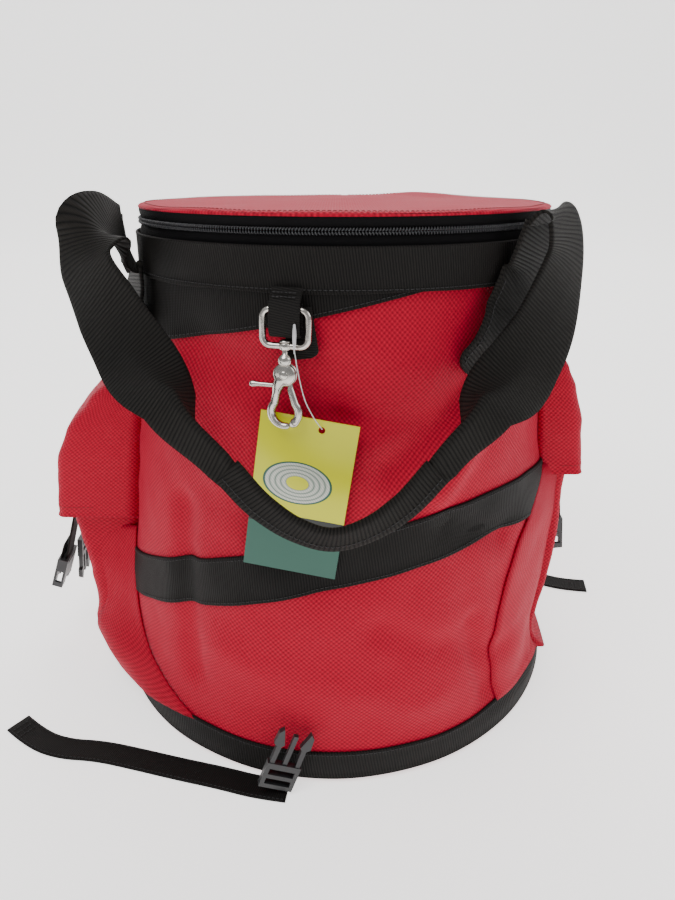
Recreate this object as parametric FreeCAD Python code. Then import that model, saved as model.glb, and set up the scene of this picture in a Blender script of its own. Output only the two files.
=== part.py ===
"""Rope storage bag: a round bucket bag of coated cloth with a zipped lid, two box pockets with flaps,
two webbing hand loops, a swivel snap with a card tag, back straps and two loose base straps.

Millimetres. The origin is the centre of the base's underside, +Z up, -Y the front (the snap side).
Azimuths are in degrees from the front, positive towards +X.
"""
import FreeCAD, Part
import math
import os
from FreeCAD import Vector as V

os.makedirs("parts", exist_ok=True)

# ---- driving dimensions ----
BASE_R = 190.0            # outside radius of the bag at the base
RIM_R = 148.6             # outside radius of the wall where the zipper is sewn on
RIM_Z = 377.0             # height of the zipper's plane at the bag's axis
RIM_X = 8.0               # the mouth sits this far to the side of the base
RIM_TILT = 6.0            # the zipper's plane is this much higher at the front
TAPE = 10.0               # zipper tape between the wall's top edge and the zipper's plane
CLOTH = 3.0               # wall thickness of coated cloth with its lining
BASE_T = 4.0              # base panel
BAND_T = 1.8              # sewn webbing
SEAM = 0.15               # its clearance from what it is sewn on
BOTTOM_BAND = 25.0        # webbing widths
MID_BAND = 38.0
RIM_BAND = 25.0
DENT = 22.0               # the right wall is pushed in above the base
DENT_Z = 18.0
DENT_SPAN = 24.0
GAP = 0.7                 # half of the gap between the two zipper coils
COIL_R = 149.6            # outside radius of the coils
LID_EDGE = 9.0            # lid panel's underside above the zipper's plane
LID_T = 3.0
LID_CROWN = 4.0
SLIDER_AT = -148.0        # azimuth of the slider when the bag is closed
PULL = 15.5               # length of the zipper pull
STRAP_W = 20.0            # narrow webbing
STRAP_T = 1.8
HANDLE_W = 50.0           # wide webbing
HANDLE_T = 2.6
SNAP_AT = -12.5           # azimuth of the snap's tab
SNAP_Z = 350.0            # height of the swivel ring's top bar
SNAP_LEAN = 7.5           # the snap lies against the sloping wall
POCKET_Y = 54.0           # half width of a side pocket
FLAP_Y = 60.0             # half width of its flap


def save(name, shape):
    """Write one named piece."""
    shape.exportStep("parts/" + name + ".step")
    box = shape.BoundBox
    print(name, len(shape.Solids), shape.isValid(), round(shape.Volume), round(box.ZMin, 1), round(box.ZMax, 1))


def sin(a):
    return math.sin(math.radians(a))


def cos(a):
    return math.cos(math.radians(a))


# ---- the bag's wall ----
def wall_x(z):
    """Side shift of the wall's centre at a height."""
    return RIM_X * z / RIM_Z


def wall_r(a, z):
    """Radius of the wall's outer face at an azimuth and height."""
    r = BASE_R - (BASE_R - RIM_R) * z / (RIM_Z - TAPE)
    if z > DENT_Z:
        t = (z - DENT_Z) / DENT_SPAN
        r -= DENT * t * math.exp(1 - t) * math.exp(-(((a + 180) % 360 - 180 - 90) / 32.0) ** 2)
    return r


def wall(a, z, out=0.0):
    """A point out from the wall's outer face."""
    r = wall_r(a, z) + out
    return V(wall_x(z) + r * sin(a), -r * cos(a), z)


def rim(a, r, h):
    """A point in the mouth's own tilted frame: azimuth, radius and height over the zipper's plane."""
    y = -r * cos(a)
    return V(RIM_X + r * sin(a), y * cos(RIM_TILT) + h * sin(RIM_TILT),
             RIM_Z - y * sin(RIM_TILT) + h * cos(RIM_TILT))


def ring_wire(points):
    curve = Part.BSplineCurve()
    curve.interpolate(points, True)
    return Part.Wire([curve.toShape()])


STEPS = [i * 15.0 for i in range(24)]
LEVELS = (BASE_T, 22.0, 40.0, 65.0, 100.0, 150.0, 210.0, 270.0, 325.0)


def body_solid(out, bottom=BASE_T, over=0.0):
    """The space inside the wall's outer face, moved out by a distance, up to the top edge."""
    levels = [z for z in LEVELS if z > bottom + 8]
    rings = [ring_wire([wall(a, z, out) for a in STEPS]) for z in [bottom] + levels]
    rings.append(ring_wire([rim(a, RIM_R + out, over - TAPE) for a in STEPS]))
    return Part.makeLoft(rings, True, False)


def slab(z0, tilt_front, tilt_right, low, high):
    """A thick plate at height z0 on the axis, tilted up to the front and the right by mm over 170 mm."""
    plate = Part.makeBox(500, 500, high - low, V(-250, -250, low))
    plate.rotate(V(0, 0, 0), V(1, 0, 0), -math.degrees(math.atan(tilt_front / 170.0)))
    plate.rotate(V(0, 0, 0), V(0, 1, 0), -math.degrees(math.atan(tilt_right / 170.0)))
    plate.translate(V(0, 0, z0))
    return plate


def rim_place(shape):
    """Move a shape from the mouth's own frame to its place."""
    shape.rotate(V(0, 0, 0), V(1, 0, 0), -RIM_TILT)
    shape.translate(V(RIM_X, 0, RIM_Z))
    return shape


def rim_ring(r0, r1, h0, h1):
    outer = Part.makeCylinder(r1, h1 - h0, V(0, 0, h0))
    return rim_place(outer.cut(Part.makeCylinder(r0, h1 - h0 + 2, V(0, 0, h0 - 1))))


outer = body_solid(0)
shell = outer.cut(body_solid(-CLOTH, BASE_T, 0.5))
front_half = Part.makeBox(600, 300, 600, V(-300, -300, -50))
back_half = Part.makeBox(600, 300, 600, V(-300, 0, -50))
save("body_front_panel", shell.common(front_half))
save("body_back_panel", shell.common(back_half))
base = Part.makeCylinder(BASE_R, BASE_T)
base = base.makeChamfer(1.8, [e for e in base.Edges if abs(e.BoundBox.ZMax) < 0.01])
save("base_panel", base)

under = Part.makeCylinder(BASE_R + 60, 1.8, V(0, 0, 0))
band_skin = body_solid(BAND_T, 1.8).cut(body_solid(SEAM, 1.0)).cut(under)
low_band = Part.makeCylinder(BASE_R + BAND_T, BOTTOM_BAND - 5, V(0, 0, 1.8))
save("bottom_band", low_band.cut(Part.makeCylinder(BASE_R + SEAM, 40)).cut(body_solid(SEAM)))
front_band = band_skin.common(slab(126, 54, 43, -MID_BAND / 2, MID_BAND / 2)).common(front_half)
back_band = band_skin.common(slab(126, 10, 43, -MID_BAND / 2, MID_BAND / 2)).common(back_half)
save("mid_band_front", front_band)
save("mid_band_back", back_band)
rim_low = -TAPE - RIM_BAND
below_edge = rim_place(Part.makeCylinder(250, 200, V(0, 0, -TAPE - 201)))
lower_zone = slab(330, 17.5, 40, 0, MID_BAND).common(below_edge)
save("lower_rim_band", band_skin.common(lower_zone))
upper_zone = rim_place(Part.makeCylinder(250, RIM_BAND, V(0, 0, rim_low)))
upper_skin = body_solid(2 * BAND_T + SEAM, BASE_T, 0.2).cut(body_solid(BAND_T + SEAM, BASE_T, 0.4))
save("upper_rim_band", upper_skin.common(upper_zone))

# ---- zipper and lid ----
save("body_zipper_tape", rim_ring(RIM_R - 2.6, RIM_R - 1.0, -TAPE, -GAP - 0.3))
save("body_zipper_coil", rim_ring(RIM_R - 1.0, COIL_R, -GAP - 1.7, -GAP))
save("lid_zipper_tape", rim_ring(RIM_R - 2.6, RIM_R - 1.0, GAP + 0.3, LID_EDGE))
save("lid_zipper_coil", rim_ring(RIM_R - 1.0, COIL_R, GAP, GAP + 1.7))

crown_r = (RIM_R ** 2 + LID_CROWN ** 2) / (2 * LID_CROWN)
dome = Part.makeSphere(crown_r, V(0, 0, LID_EDGE + LID_T + LID_CROWN - crown_r))
under_dome = Part.makeSphere(crown_r, V(0, 0, LID_EDGE + LID_CROWN - crown_r))
lid = Part.makeCylinder(RIM_R + 0.4, 40, V(0, 0, LID_EDGE - 4)).common(dome).cut(under_dome)
save("lid_panel", rim_place(lid))

hinge_wedge = Part.makeCylinder(200, 20, V(0, 0, -TAPE + 0.4), V(0, 0, 1), 40)
hinge_wedge.rotate(V(0, 0, 0), V(0, 0, 1), 70)
hinge_ring = Part.makeCylinder(COIL_R + 1.6, TAPE - 1, V(0, 0, -TAPE + 0.4)).cut(
    Part.makeCylinder(COIL_R + 0.3, 40, V(0, 0, -20)))
save("lid_hinge_tape", rim_place(hinge_ring.common(hinge_wedge)))

# slider and pull are drawn at the front of the ring, then turned to their place
plate_out = Part.makeBox(11, 2.0, 10, V(-5.5, -COIL_R - 2.6, -5))
web = Part.makeBox(3.4, 5.8, 0.8, V(-1.7, -COIL_R - 0.8, -0.4))
plate_in = Part.makeBox(10, 1.6, 9, V(-5, -COIL_R + 4.9, -4.5))
PIN_R = COIL_R + 6.0      # radius of the pull's hinge
bridge = Part.makeBox(3, 5.4, 7.6, V(-1.5, -COIL_R - 7.8, -3.8))
bridge = bridge.cut(Part.makeBox(5, 3.4, 5.0, V(-2.5, -PIN_R - 1.2, -2.5)))
slider = plate_out.fuse([web, plate_in, bridge]).removeSplitter()
pull_bar = Part.makeCylinder(0.8, 8, V(-4, -PIN_R, 0), V(1, 0, 0))
pull_arms = [Part.makeBox(1.4, 1.6, 6, V(x, -PIN_R - 0.8, -6)) for x in (-4, 2.6)]
pull_plate = Part.makeBox(9, 1.6, PULL - 5, V(-4.5, -PIN_R - 0.8, -PULL))
pull = pull_bar.fuse(pull_arms + [pull_plate]).removeSplitter()
pull.rotate(V(0, -PIN_R, 0), V(1, 0, 0), -7.5)
for name, shape in (("zip_slider", slider), ("zip_pull", pull)):
    shape.rotate(V(0, 0, 0), V(0, 0, 1), SLIDER_AT)
    save(name, rim_place(shape))
pin = rim(SLIDER_AT, PIN_R, 0)
pin_axis = V(cos(SLIDER_AT), sin(SLIDER_AT) * cos(RIM_TILT), -sin(SLIDER_AT) * sin(RIM_TILT))
print("pull hinge", pin, "axis", pin_axis)


# ---- flat webbing along stations ----
def corners(centre, wide, normal, width, thick):
    """Four corners across a strap, from its centre, width direction, face direction and size."""
    w = V(wide) * (width / 2)
    n = V(normal) * (thick / 2)
    return [centre - w - n, centre + w - n, centre + w + n, centre - w + n]


def section(centre, wide, normal, width, thick):
    """The same four corners as a closed outline."""
    points = corners(centre, wide, normal, width, thick)
    return Part.makePolygon(points + [points[0]])


def flat_face(*points):
    return Part.Face(Part.makePolygon(list(points) + [points[0]]))


def strap(stations, thick):
    """Webbing through (centre, rough width direction, width) stations, square to its own path."""
    points = [V(*c) for c, _, _ in stations]
    rings = []
    for i, (_, wide, width) in enumerate(stations):
        run = (points[min(i + 1, len(points) - 1)] - points[max(i - 1, 0)]).normalize()
        across = V(*wide)
        across = (across - run * across.dot(run)).normalize()
        rings.append(corners(points[i], across, across.cross(run), width, thick))
    faces = [flat_face(*rings[0]), flat_face(*rings[-1])]
    for a, b in zip(rings, rings[1:]):
        # both wide faces are split along the same diagonal, so a twisted strap keeps its thickness
        for k, m in ((0, 1), (1, 2), (3, 2), (0, 3)):
            faces += [flat_face(a[k], a[m], b[m]), flat_face(a[k], b[m], b[k])]
    solid = Part.makeSolid(Part.makeShell(faces))
    if solid.Volume < 0:
        solid.reverse()
    return solid


def mirror_x(stations):
    return [((-c[0], c[1], c[2]), (-w[0], w[1], w[2]), width) for c, w, width in stations]


def turn_back(stations, drop):
    """The same webbing at the back of the bag, lower by drop."""
    return [((-c[0], -c[1], c[2] - drop), (-w[0], -w[1], w[2]), width) for c, w, width in stations]


# ---- hand loops ----
# centre, rough width direction, width; from the top of the loop down to the folded grip
LOOP_RIGHT = [
    ((128, -106.5, 389), (0.62, 0.78, 0.0), HANDLE_W),
    ((135, -109, 398), (0.62, 0.78, 0.0), HANDLE_W),
    ((141, -112, 392), (0.60, 0.79, -0.15), HANDLE_W),
    ((143, -117, 368), (0.66, 0.72, -0.20), HANDLE_W),
    ((132, -134, 335), (0.83, 0.43, -0.35), HANDLE_W),
    ((117, -149, 314), (0.86, 0.18, -0.46), HANDLE_W),
    ((96, -168, 297), (0.80, 0.05, -0.58), HANDLE_W - 2),
    ((79, -185, 284), (0.62, 0.10, -0.74), HANDLE_W - 12),
    ((65, -197, 270), (0.60, 0.0, -0.79), 27),
]
# the left end at the front is sewn further round the bag, so that loop leans forward from its anchor
LOOP_LEFT = [
    ((-141, -66, 373), (-0.20, 0.45, 0.87), HANDLE_W),
    ((-144, -84, 384), (-0.35, 0.55, 0.75), HANDLE_W),
    ((-149, -102, 385), (-0.50, 0.68, 0.50), HANDLE_W),
    ((-152, -117, 367), (-0.75, 0.64, 0.0), HANDLE_W),
    ((-139, -131, 343), (-0.90, 0.36, -0.25), HANDLE_W),
    ((-123, -145, 321), (-0.95, 0.15, -0.28), HANDLE_W),
    ((-103, -165, 301), (-0.92, 0.10, -0.38), HANDLE_W - 1),
    ((-83, -184, 284), (-0.72, 0.15, -0.68), HANDLE_W - 10),
    ((-66, -197, 270), (-0.60, 0.0, -0.79), 27),
]
GRIP_HALF = [
    ((61, -198.5, 267), (0.60, 0.0, -0.80), 25),
    ((42, -205, 250), (0.45, 0.15, -0.88), 25),
    ((22, -209, 237), (0.25, 0.30, -0.90), 25),
    ((0, -211, 231), (0.0, 0.35, -0.94), 25),
]
GRIP = GRIP_HALF + mirror_x(list(reversed(GRIP_HALF[:-1])))
BACK_DROP = 30.0
HANDLES = {"front": (LOOP_RIGHT, LOOP_LEFT, GRIP)}
HANDLES["back"] = [turn_back(stations, BACK_DROP) for stations in (LOOP_RIGHT, mirror_x(LOOP_RIGHT), GRIP)]
for side, (loop_right, loop_left, grip) in HANDLES.items():
    save("handle_" + side + "_loop_right", strap(loop_right, HANDLE_T))
    save("handle_" + side + "_loop_left", strap(loop_left, HANDLE_T))
    save("handle_" + side + "_grip", strap(grip, 2 * HANDLE_T))


def anchor(a0, a1, z0, z1, width):
    """Webbing sewn to the outside of the bag from (a0, z0) up to (a1, z1), over the rim bands."""
    stations = []
    for k in range(6):
        a, z = a0 + (a1 - a0) * k / 5.0, z0 + (z1 - z0) * k / 5.0
        p = wall(a, z, 2 * BAND_T + 3.6 + HANDLE_T / 2)
        across = (wall(a1, z1) - wall(a0, z0)).cross(V(sin(a), -cos(a), 0.11))
        stations.append((tuple(p), tuple(across), width))
    return strap(stations, HANDLE_T)


# azimuth and height of each anchor's lower and upper end
ANCHORS = {
    "front_right": (33, 46, 310, 360),
    "front_left": (-62, -68, 312, 356),
    "back_right": (147, 134, 288, 338),
    "back_left": (213, 226, 288, 338),
}
for name, (a0, a1, z0, z1) in ANCHORS.items():
    save("handle_anchor_" + name, anchor(a0, a1, z0, z1, 40))


# ---- side pockets and flaps ----
# height, depth beyond the wall, half width along the wall; left, then right
POCKETS = {
    "left": (-1, ((22, 5, 68), (50, 17, 64), (95, 27, 60), (140, 43, POCKET_Y), (192, 47, POCKET_Y - 1))),
    "right": (1, ((22, 5, 68), (50, 7, 64), (100, 8, 60), (170, 11, POCKET_Y), (225, 18, POCKET_Y - 1))),
}
# each pocket's cloth spreads forward along the wall towards the base: the azimuth it is drawn square to,
# then its outline as (distance along the wall from that azimuth, height)
SKIRTS = {
    "left": (-60, ((76, 27), (35, 44), (-5, 62), (-19, 98), (-40, 98), (-40, 27))),
    "right": (60, ((-51, 27), (-53, 90), (-42, 128), (-24, 165), (9, 187), (42, 187), (42, 27))),
}


def skirt(middle, outline):
    out_x, out_y = sin(middle), -cos(middle)
    points = [V(100 * out_x - t * out_y, 100 * out_y + t * out_x, z) for t, z in outline]
    prism = flat_face(*points).extrude(V(120 * out_x, 120 * out_y, 0))
    return body_solid(BAND_T + 3.0).cut(body_solid(BAND_T + 0.3)).common(prism)


def pocket_section(side, z, depth, half, inset):
    """A closed outline in plan: the outer face bulges a little, the ends run back into the wall."""
    a = 90.0 * side
    x0 = wall_x(z) + side * (wall_r(a, z) + depth - inset)
    half = half - inset
    back = wall_x(z) + side * (wall_r(a, z) - 34)
    corner = side * min(8.0, 0.5 * depth)
    points = [V(back, -half, z), V(x0 - corner - side * 2, -half, z), V(x0 - side * 2, -half + 8, z),
              V(x0, 0, z), V(x0 - side * 2, half - 8, z), V(x0 - corner - side * 2, half, z), V(back, half, z)]
    return Part.makePolygon(points + [points[0]])


def pocket(side, levels):
    skin = Part.makeLoft([pocket_section(side, z, d, h, 0) for z, d, h in levels], True, True)
    inner = [(z + 6 if i == 0 else z, d, h) for i, (z, d, h) in enumerate(levels)]
    inner[-1] = (levels[-1][0] + 2, levels[-1][1], levels[-1][2])
    hollow = Part.makeLoft([pocket_section(side, z, d, h, 2.5) for z, d, h in inner], True, True)
    return skin.cut(body_solid(BAND_T + 0.05)).cut(hollow)


# flap: height of its hinge, of its outer crease, of its lower edge, and depth at crease and edge
FLAPS = {"left": (-1, 277, 226, 205, 150, 54.0), "right": (1, 292, 262, 235, 190, 23.0)}


def flap(side, z_hinge, z_crease, z_face, z_edge, depth, inset):
    """A box flap: a sloping top, an outer face and two end panels; inset shrinks it for its hollow."""
    x_hinge = wall_x(z_hinge) + side * (wall_r(90 * side, z_hinge) + 3.0)
    x_face = wall_x(z_face) + side * (wall_r(90 * side, z_face) + depth)
    x_wall = wall_x(z_edge) + side * (wall_r(90 * side, z_edge) - 30)
    t = inset * side
    profile = [V(x_hinge - t * 0.2, 0, z_hinge - inset * 1.3),
               V(x_face - side * 6 - t * 0.5, 0, z_crease - inset), V(x_face - t, 0, z_face),
               V(x_face - t + side * 1, 0, z_edge - inset * 4),
               V(x_wall, 0, z_edge - inset * 4), V(x_wall, 0, z_hinge - 20 - inset)]
    half = FLAP_Y - inset
    face = Part.Face(Part.makePolygon(profile + [profile[0]]))
    face.translate(V(0, -half, 0))
    return face.extrude(V(0, 2 * half, 0)), x_hinge, x_face


for name in ("left", "right"):
    side, levels = POCKETS[name]
    save("pocket_" + name, pocket(side, levels).fuse(skirt(*SKIRTS[name])))
    block, x_hinge, x_face = flap(*FLAPS[name], 0.0)
    hollow = flap(*FLAPS[name], 2.5)[0]
    keep_off = body_solid(BAND_T + 1.4)
    save("flap_" + name, block.cut(hollow).cut(keep_off))
    print("flap hinge", name, x_hinge, FLAPS[name][1], "face", x_face)


# ---- moulded buckles ----
def axes(origin, x_axis, z_axis):
    """The matrix that turns own x and z to two directions and moves the origin."""
    z = V(*z_axis).normalize()
    x = V(*x_axis)
    x = (x - z * x.dot(z)).normalize()
    y = z.cross(x)
    return FreeCAD.Matrix(x.x, y.x, z.x, origin[0], x.y, y.y, z.y, origin[1],
                          x.z, y.z, z.z, origin[2], 0, 0, 0, 1)


def frame_at(shape, origin, x_axis, z_axis):
    """Place a shape drawn at the origin so that its own x and z run along two directions."""
    shape.transformShape(axes(origin, x_axis, z_axis))
    return shape


def male_buckle(scale):
    """Frame with two webbing slots, a guide prong and two arrow-headed spring arms, standing on z = 0."""
    w, t = 24.0, 5.0
    part = Part.makeBox(w, t, 20, V(-w / 2, -t / 2, 0))
    for z in (3.2, 11.0):
        part = part.cut(Part.makeBox(w - 6, t + 2, 4.6, V(-w / 2 + 3, -t / 2 - 1, z)))
    prong = Part.makeBox(3.2, 3.2, 25, V(-1.6, -1.6, 19))
    arms = []
    for s in (-1, 1):
        outline = [(7.6, 19), (7.2, 34), (5.6, 36), (9.6, 48), (12.4, 45), (13.0, 36), (10.6, 34), (10.8, 19)]
        points = [V(s * x, -2, z) for x, z in outline]
        arms.append(Part.Face(Part.makePolygon(points + [points[0]])).extrude(V(0, 4, 0)))
    part = part.fuse([prong] + arms).removeSplitter()
    part.scale(scale, V(0, 0, 0))
    return part


def female_buckle():
    """Hollow housing open at z = 0 with side windows, and a webbing bar at its upper end."""
    part = Part.makeBox(27, 9, 30, V(-13.5, -4.5, 0))
    part = part.cut(Part.makeBox(22, 5.4, 24, V(-11, -2.7, -1)))
    part = part.cut(Part.makeBox(40, 5.0, 12, V(-20, -2.5, 5)))
    part = part.cut(Part.makeBox(9, 12, 6, V(-4.5, -6, -1)))
    return part.cut(Part.makeBox(20, 12, 3.6, V(-10, -6, 24.8)))


# lower end and webbing end of each half; the male halves hang tips down from an arching strap
FEMALE_Y, MALE_Y = -13.0, 15.0
FEMALE = {"left": ((-252, FEMALE_Y, 56), (-229, FEMALE_Y, 120)),
          "right": ((197, FEMALE_Y, 98), (190.5, FEMALE_Y, 152))}
MALE = {"left": ((-236, MALE_Y, 86), (-242, MALE_Y, 38)),
        "right": ((192, MALE_Y, 134), (186.5, MALE_Y, 90))}
ARCH = {"left": ((-213, 24), (-217, 46), (-222, 70), (-228, 88), (-232.5, 89.5)),
        "right": ((181, 62), (183, 90), (185.4, 116), (186.4, 134.5), (188.5, 137.5))}
WEB_GAP = 1.6             # the swinging webbing starts this far below the sewn piece
for name in ("left", "right"):
    side = POCKETS[name][0]
    end, top = V(*FEMALE[name][0]), V(*FEMALE[name][1])
    along = (top - end).normalize()
    save("pocket_buckle_female_" + name, frame_at(female_buckle(), end, (0, 1, 0), along))
    x_face = flap(*FLAPS[name], 0.0)[2]
    edge = FLAPS[name][4]
    bar = end + along * 29.6
    sewn = [((x_face + side * 3.0, FEMALE_Y, edge + 26), (0, 1, 0), STRAP_W),
            ((x_face + side * 3.4, FEMALE_Y, edge - 2), (0, 1, 0), STRAP_W)]
    save("flap_webbing_" + name, strap(sewn, STRAP_T))
    hinge = V(x_face + side * 3.4, FEMALE_Y, edge - 2 - WEB_GAP)
    hanging = [(tuple(hinge), (0, 1, 0), STRAP_W), (tuple(bar + along * 2.4), (0, 1, 0), STRAP_W)]
    save("buckle_webbing_" + name, strap(hanging, STRAP_T))
    print("female hinge", name, hinge)
    top, tips = V(*MALE[name][0]), V(*MALE[name][1])
    save("pocket_buckle_male_" + name, frame_at(male_buckle(0.92), top, (0, 1, 0), tips - top))
    arch = [((x, MALE_Y, z), (0, 1, 0), STRAP_W) for x, z in ARCH[name]]
    save("pocket_strap_" + name, strap(arch, STRAP_T))

# ---- padded shoulder straps at the back, with webbing and female halves that fit the base straps ----
PAD_W, PAD_T = 52.0, 9.0
for name, s in (("left", -1), ("right", 1)):
    # the wearer's left is the bag's -X side
    line = [(180 - s * (17 + 6 * k / 5.0), 300 - 190 * k / 5.0) for k in range(6)]
    pad = [(tuple(wall(a, z, 13 if i else 9)), (cos(a), sin(a), 0), PAD_W) for i, (a, z) in enumerate(line)]
    save("shoulder_pad_" + name, strap(pad, PAD_T))
    a_low = 180 - s * 24
    web = [(tuple(wall(a_low, z, 13)), (cos(a_low), sin(a_low), 0), STRAP_W) for z in (109.4, 90, 70)]
    save("shoulder_webbing_" + name, strap(web, STRAP_T))
    low, high = wall(a_low, 38, 13), wall(a_low, 70, 13)
    save("shoulder_buckle_" + name, frame_at(female_buckle(), low, (cos(a_low), sin(a_low), 0), high - low))
yoke_wedge = Part.makeCylinder(260, 30, V(0, 0, 282), V(0, 0, 1), 76)
yoke_wedge.rotate(V(0, 0, 0), V(0, 0, 1), 52)
save("shoulder_yoke", band_skin.common(yoke_wedge).cut(slab(330, 17.5, 40, -0.4, MID_BAND)))

# ---- base straps: flat webbing lying on the floor, with its male buckle ----
LAY = STRAP_T / 2 + 0.05
BASE_STRAP_FRONT = [(-24, -201), (-52, -197.5), (-84, -188), (-117, -180), (-150, -171), (-182, -163),
                    (-211, -161), (-236, -151), (-256, -135)]
BASE_STRAP_REAR = [(150, 136), (172, 112), (194, 78), (214, 60), (236, 50.5), (258, 48)]


def turn_radius(a, b, c):
    """Largest tangent arc at b: 0.45 of the shorter run over the tangent of half the turn."""
    u, v = b - a, c - b
    turn = u.getAngle(v)
    return 0.45 * min(u.Length, v.Length) / math.tan(turn / 2), turn


def floor_strap(route):
    """Flat webbing swept along straight runs joined by tangent arcs."""
    points = [V(x, y, LAY) for x, y in route]
    edges, last, length, radii = [], points[0], 0.0, []
    for a, b, c in zip(points, points[1:], points[2:]):
        radius, turn = turn_radius(a, b, c)
        cut = radius * math.tan(turn / 2)
        start, end = b + (a - b).normalize() * cut, b + (c - b).normalize() * cut
        to_middle = ((a - b).normalize() + (c - b).normalize()).normalize()
        middle = b + to_middle * (radius / math.cos(turn / 2) - radius)
        edges += [Part.LineSegment(last, start).toShape(), Part.Arc(start, middle, end).toShape()]
        length += (start - last).Length + radius * turn
        last = end
        radii.append(round(radius))
    edges.append(Part.LineSegment(last, points[-1]).toShape())
    length += (points[-1] - last).Length
    run = (points[1] - points[0]).normalize()
    across = run.cross(V(0, 0, 1))
    face = section(points[0], across, V(0, 0, 1), STRAP_W, STRAP_T)
    solid = Part.Wire(edges).makePipeShell([face], True, False)
    print("strap radii", radii, "length", round(length, 1), "volume ratio",
          round(solid.Volume / (length * STRAP_W * STRAP_T), 4))
    return solid


save("base_strap_front", floor_strap(BASE_STRAP_FRONT))
save("base_strap_rear", floor_strap(BASE_STRAP_REAR))
front_buckle = frame_at(male_buckle(1.06), V(-43, -201, 7.4), (0.92, 0.1, -0.36), (0.36, 0.16, 0.92))
save("base_buckle_front", front_buckle)
rear_buckle = frame_at(male_buckle(1.06), V(166, 127, 3.4), (0.6, -0.8, 0.0), (-0.10, -0.10, 0.98))
save("base_buckle_rear", rear_buckle)

# ---- swivel snap, its tab and the card tag: drawn hanging down from the ring's top bar ----
# own frame: x along the wall to the right, y away from the wall, z up along the leaning snap
SNAP_R = wall_r(SNAP_AT, SNAP_Z) + 2 * BAND_T + 5.6
SNAP_O = V(wall_x(SNAP_Z) + SNAP_R * sin(SNAP_AT), -SNAP_R * cos(SNAP_AT), SNAP_Z)
SNAP_X = V(-cos(SNAP_AT), -sin(SNAP_AT), 0)
SNAP_UP = V(-sin(SNAP_AT) * sin(SNAP_LEAN), cos(SNAP_AT) * sin(SNAP_LEAN), cos(SNAP_LEAN))
WIRE = 2.1                # ring wire radius
RING_W, RING_H = 27.8, 21.5   # between wire centres


def snap_place(shape):
    return frame_at(shape, SNAP_O, SNAP_X, SNAP_UP)


def rod(points, radius):
    """Round wire through points with ball joints at its corners."""
    parts = [Part.makeSphere(radius, points[0])]
    for a, b in zip(points, points[1:]):
        parts += [Part.makeCylinder(radius, (b - a).Length, a, b - a), Part.makeSphere(radius, b)]
    return parts[0].fuse(parts[1:]).removeSplitter()


def arc_points(cx, cz, r, a0, a1, steps, y=0.0):
    return [V(cx + r * cos(a0 + (a1 - a0) * k / steps), y, cz + r * sin(a0 + (a1 - a0) * k / steps))
            for k in range(steps + 1)]


half = RING_W / 2
ring = rod([V(-half, 0, 0), V(half, 0, 0), V(half, 0, -RING_H), V(-half, 0, -RING_H), V(-half, 0, 0)], WIRE)
POST = 1.6
ring = ring.fuse(Part.makeCylinder(3.6, 4.2, V(0, 0, -RING_H - 2.1)))
ring = ring.cut(Part.makeCylinder(POST + 0.1, 8, V(0, 0, -RING_H - 4))).removeSplitter()
save("swivel_ring", snap_place(ring))

PIVOT_Z, JAW_Z, JAW_R, JAW_WIRE = -38.5, -62.0, 8.6, 2.5
post = Part.makeCylinder(POST, 12, V(0, 0, -RING_H - 9)).fuse([
    Part.makeCylinder(3.6, 1.5, V(0, 0, -RING_H + 2.4)), Part.makeCylinder(4.2, 4.2, V(0, 0, -RING_H - 6.6))])
cheeks = [Part.makeCylinder(7, 2.0, V(0, y, PIVOT_Z), V(0, 1, 0)) for y in (-3.5, 1.5)]
cap = Part.makeBox(8, 7, 4, V(-4, -3.5, PIVOT_Z + 5.4))
neck = [Part.makeBox(7, 2.0, 10, V(0.2, y, PIVOT_Z - 14)) for y in (-3.5, 1.5)]
fixed_jaw = rod([V(4.6, 0, PIVOT_Z - 13.6)] + arc_points(0, JAW_Z, JAW_R, 35, -97, 7), JAW_WIRE)
body = post.fuse(cheeks + [cap] + neck).cut(Part.makeCylinder(1.3, 9, V(0, -4.5, PIVOT_Z), V(0, 1, 0)))
save("snap_body", snap_place(body.fuse(fixed_jaw).removeSplitter()))
pivot = Part.makeCylinder(1.25, 7.0, V(0, -3.5, PIVOT_Z), V(0, 1, 0)).fuse(
    [Part.makeCylinder(2.6, 0.9, V(0, y, PIVOT_Z), V(0, 1, 0)) for y in (-4.4, 3.5)])
save("snap_pivot", snap_place(pivot))
tongue = Part.makeCylinder(5.2, 2.4, V(0, -1.2, PIVOT_Z), V(0, 1, 0)).fuse([
    Part.makeBox(4.6, 2.4, 10, V(-5.0, -1.2, PIVOT_Z - 9.2)),
    Part.makeBox(14, 2.4, 3, V(-2, -1.2, PIVOT_Z - 8.6))])
tongue = tongue.cut(Part.makeCylinder(1.35, 9, V(0, -4.5, PIVOT_Z), V(0, 1, 0)))
lever = rod([V(9.8, 0, PIVOT_Z - 7.1), V(20.5, 0, PIVOT_Z - 7.1)], 1.6)
moving_jaw = rod([V(-4.4, 0, PIVOT_Z - 9.6)] + arc_points(0, JAW_Z, JAW_R, 150, 226, 5), JAW_WIRE - 0.2)
gate = tongue.fuse([lever, moving_jaw]).removeSplitter()
save("snap_gate", snap_place(gate))

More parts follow.
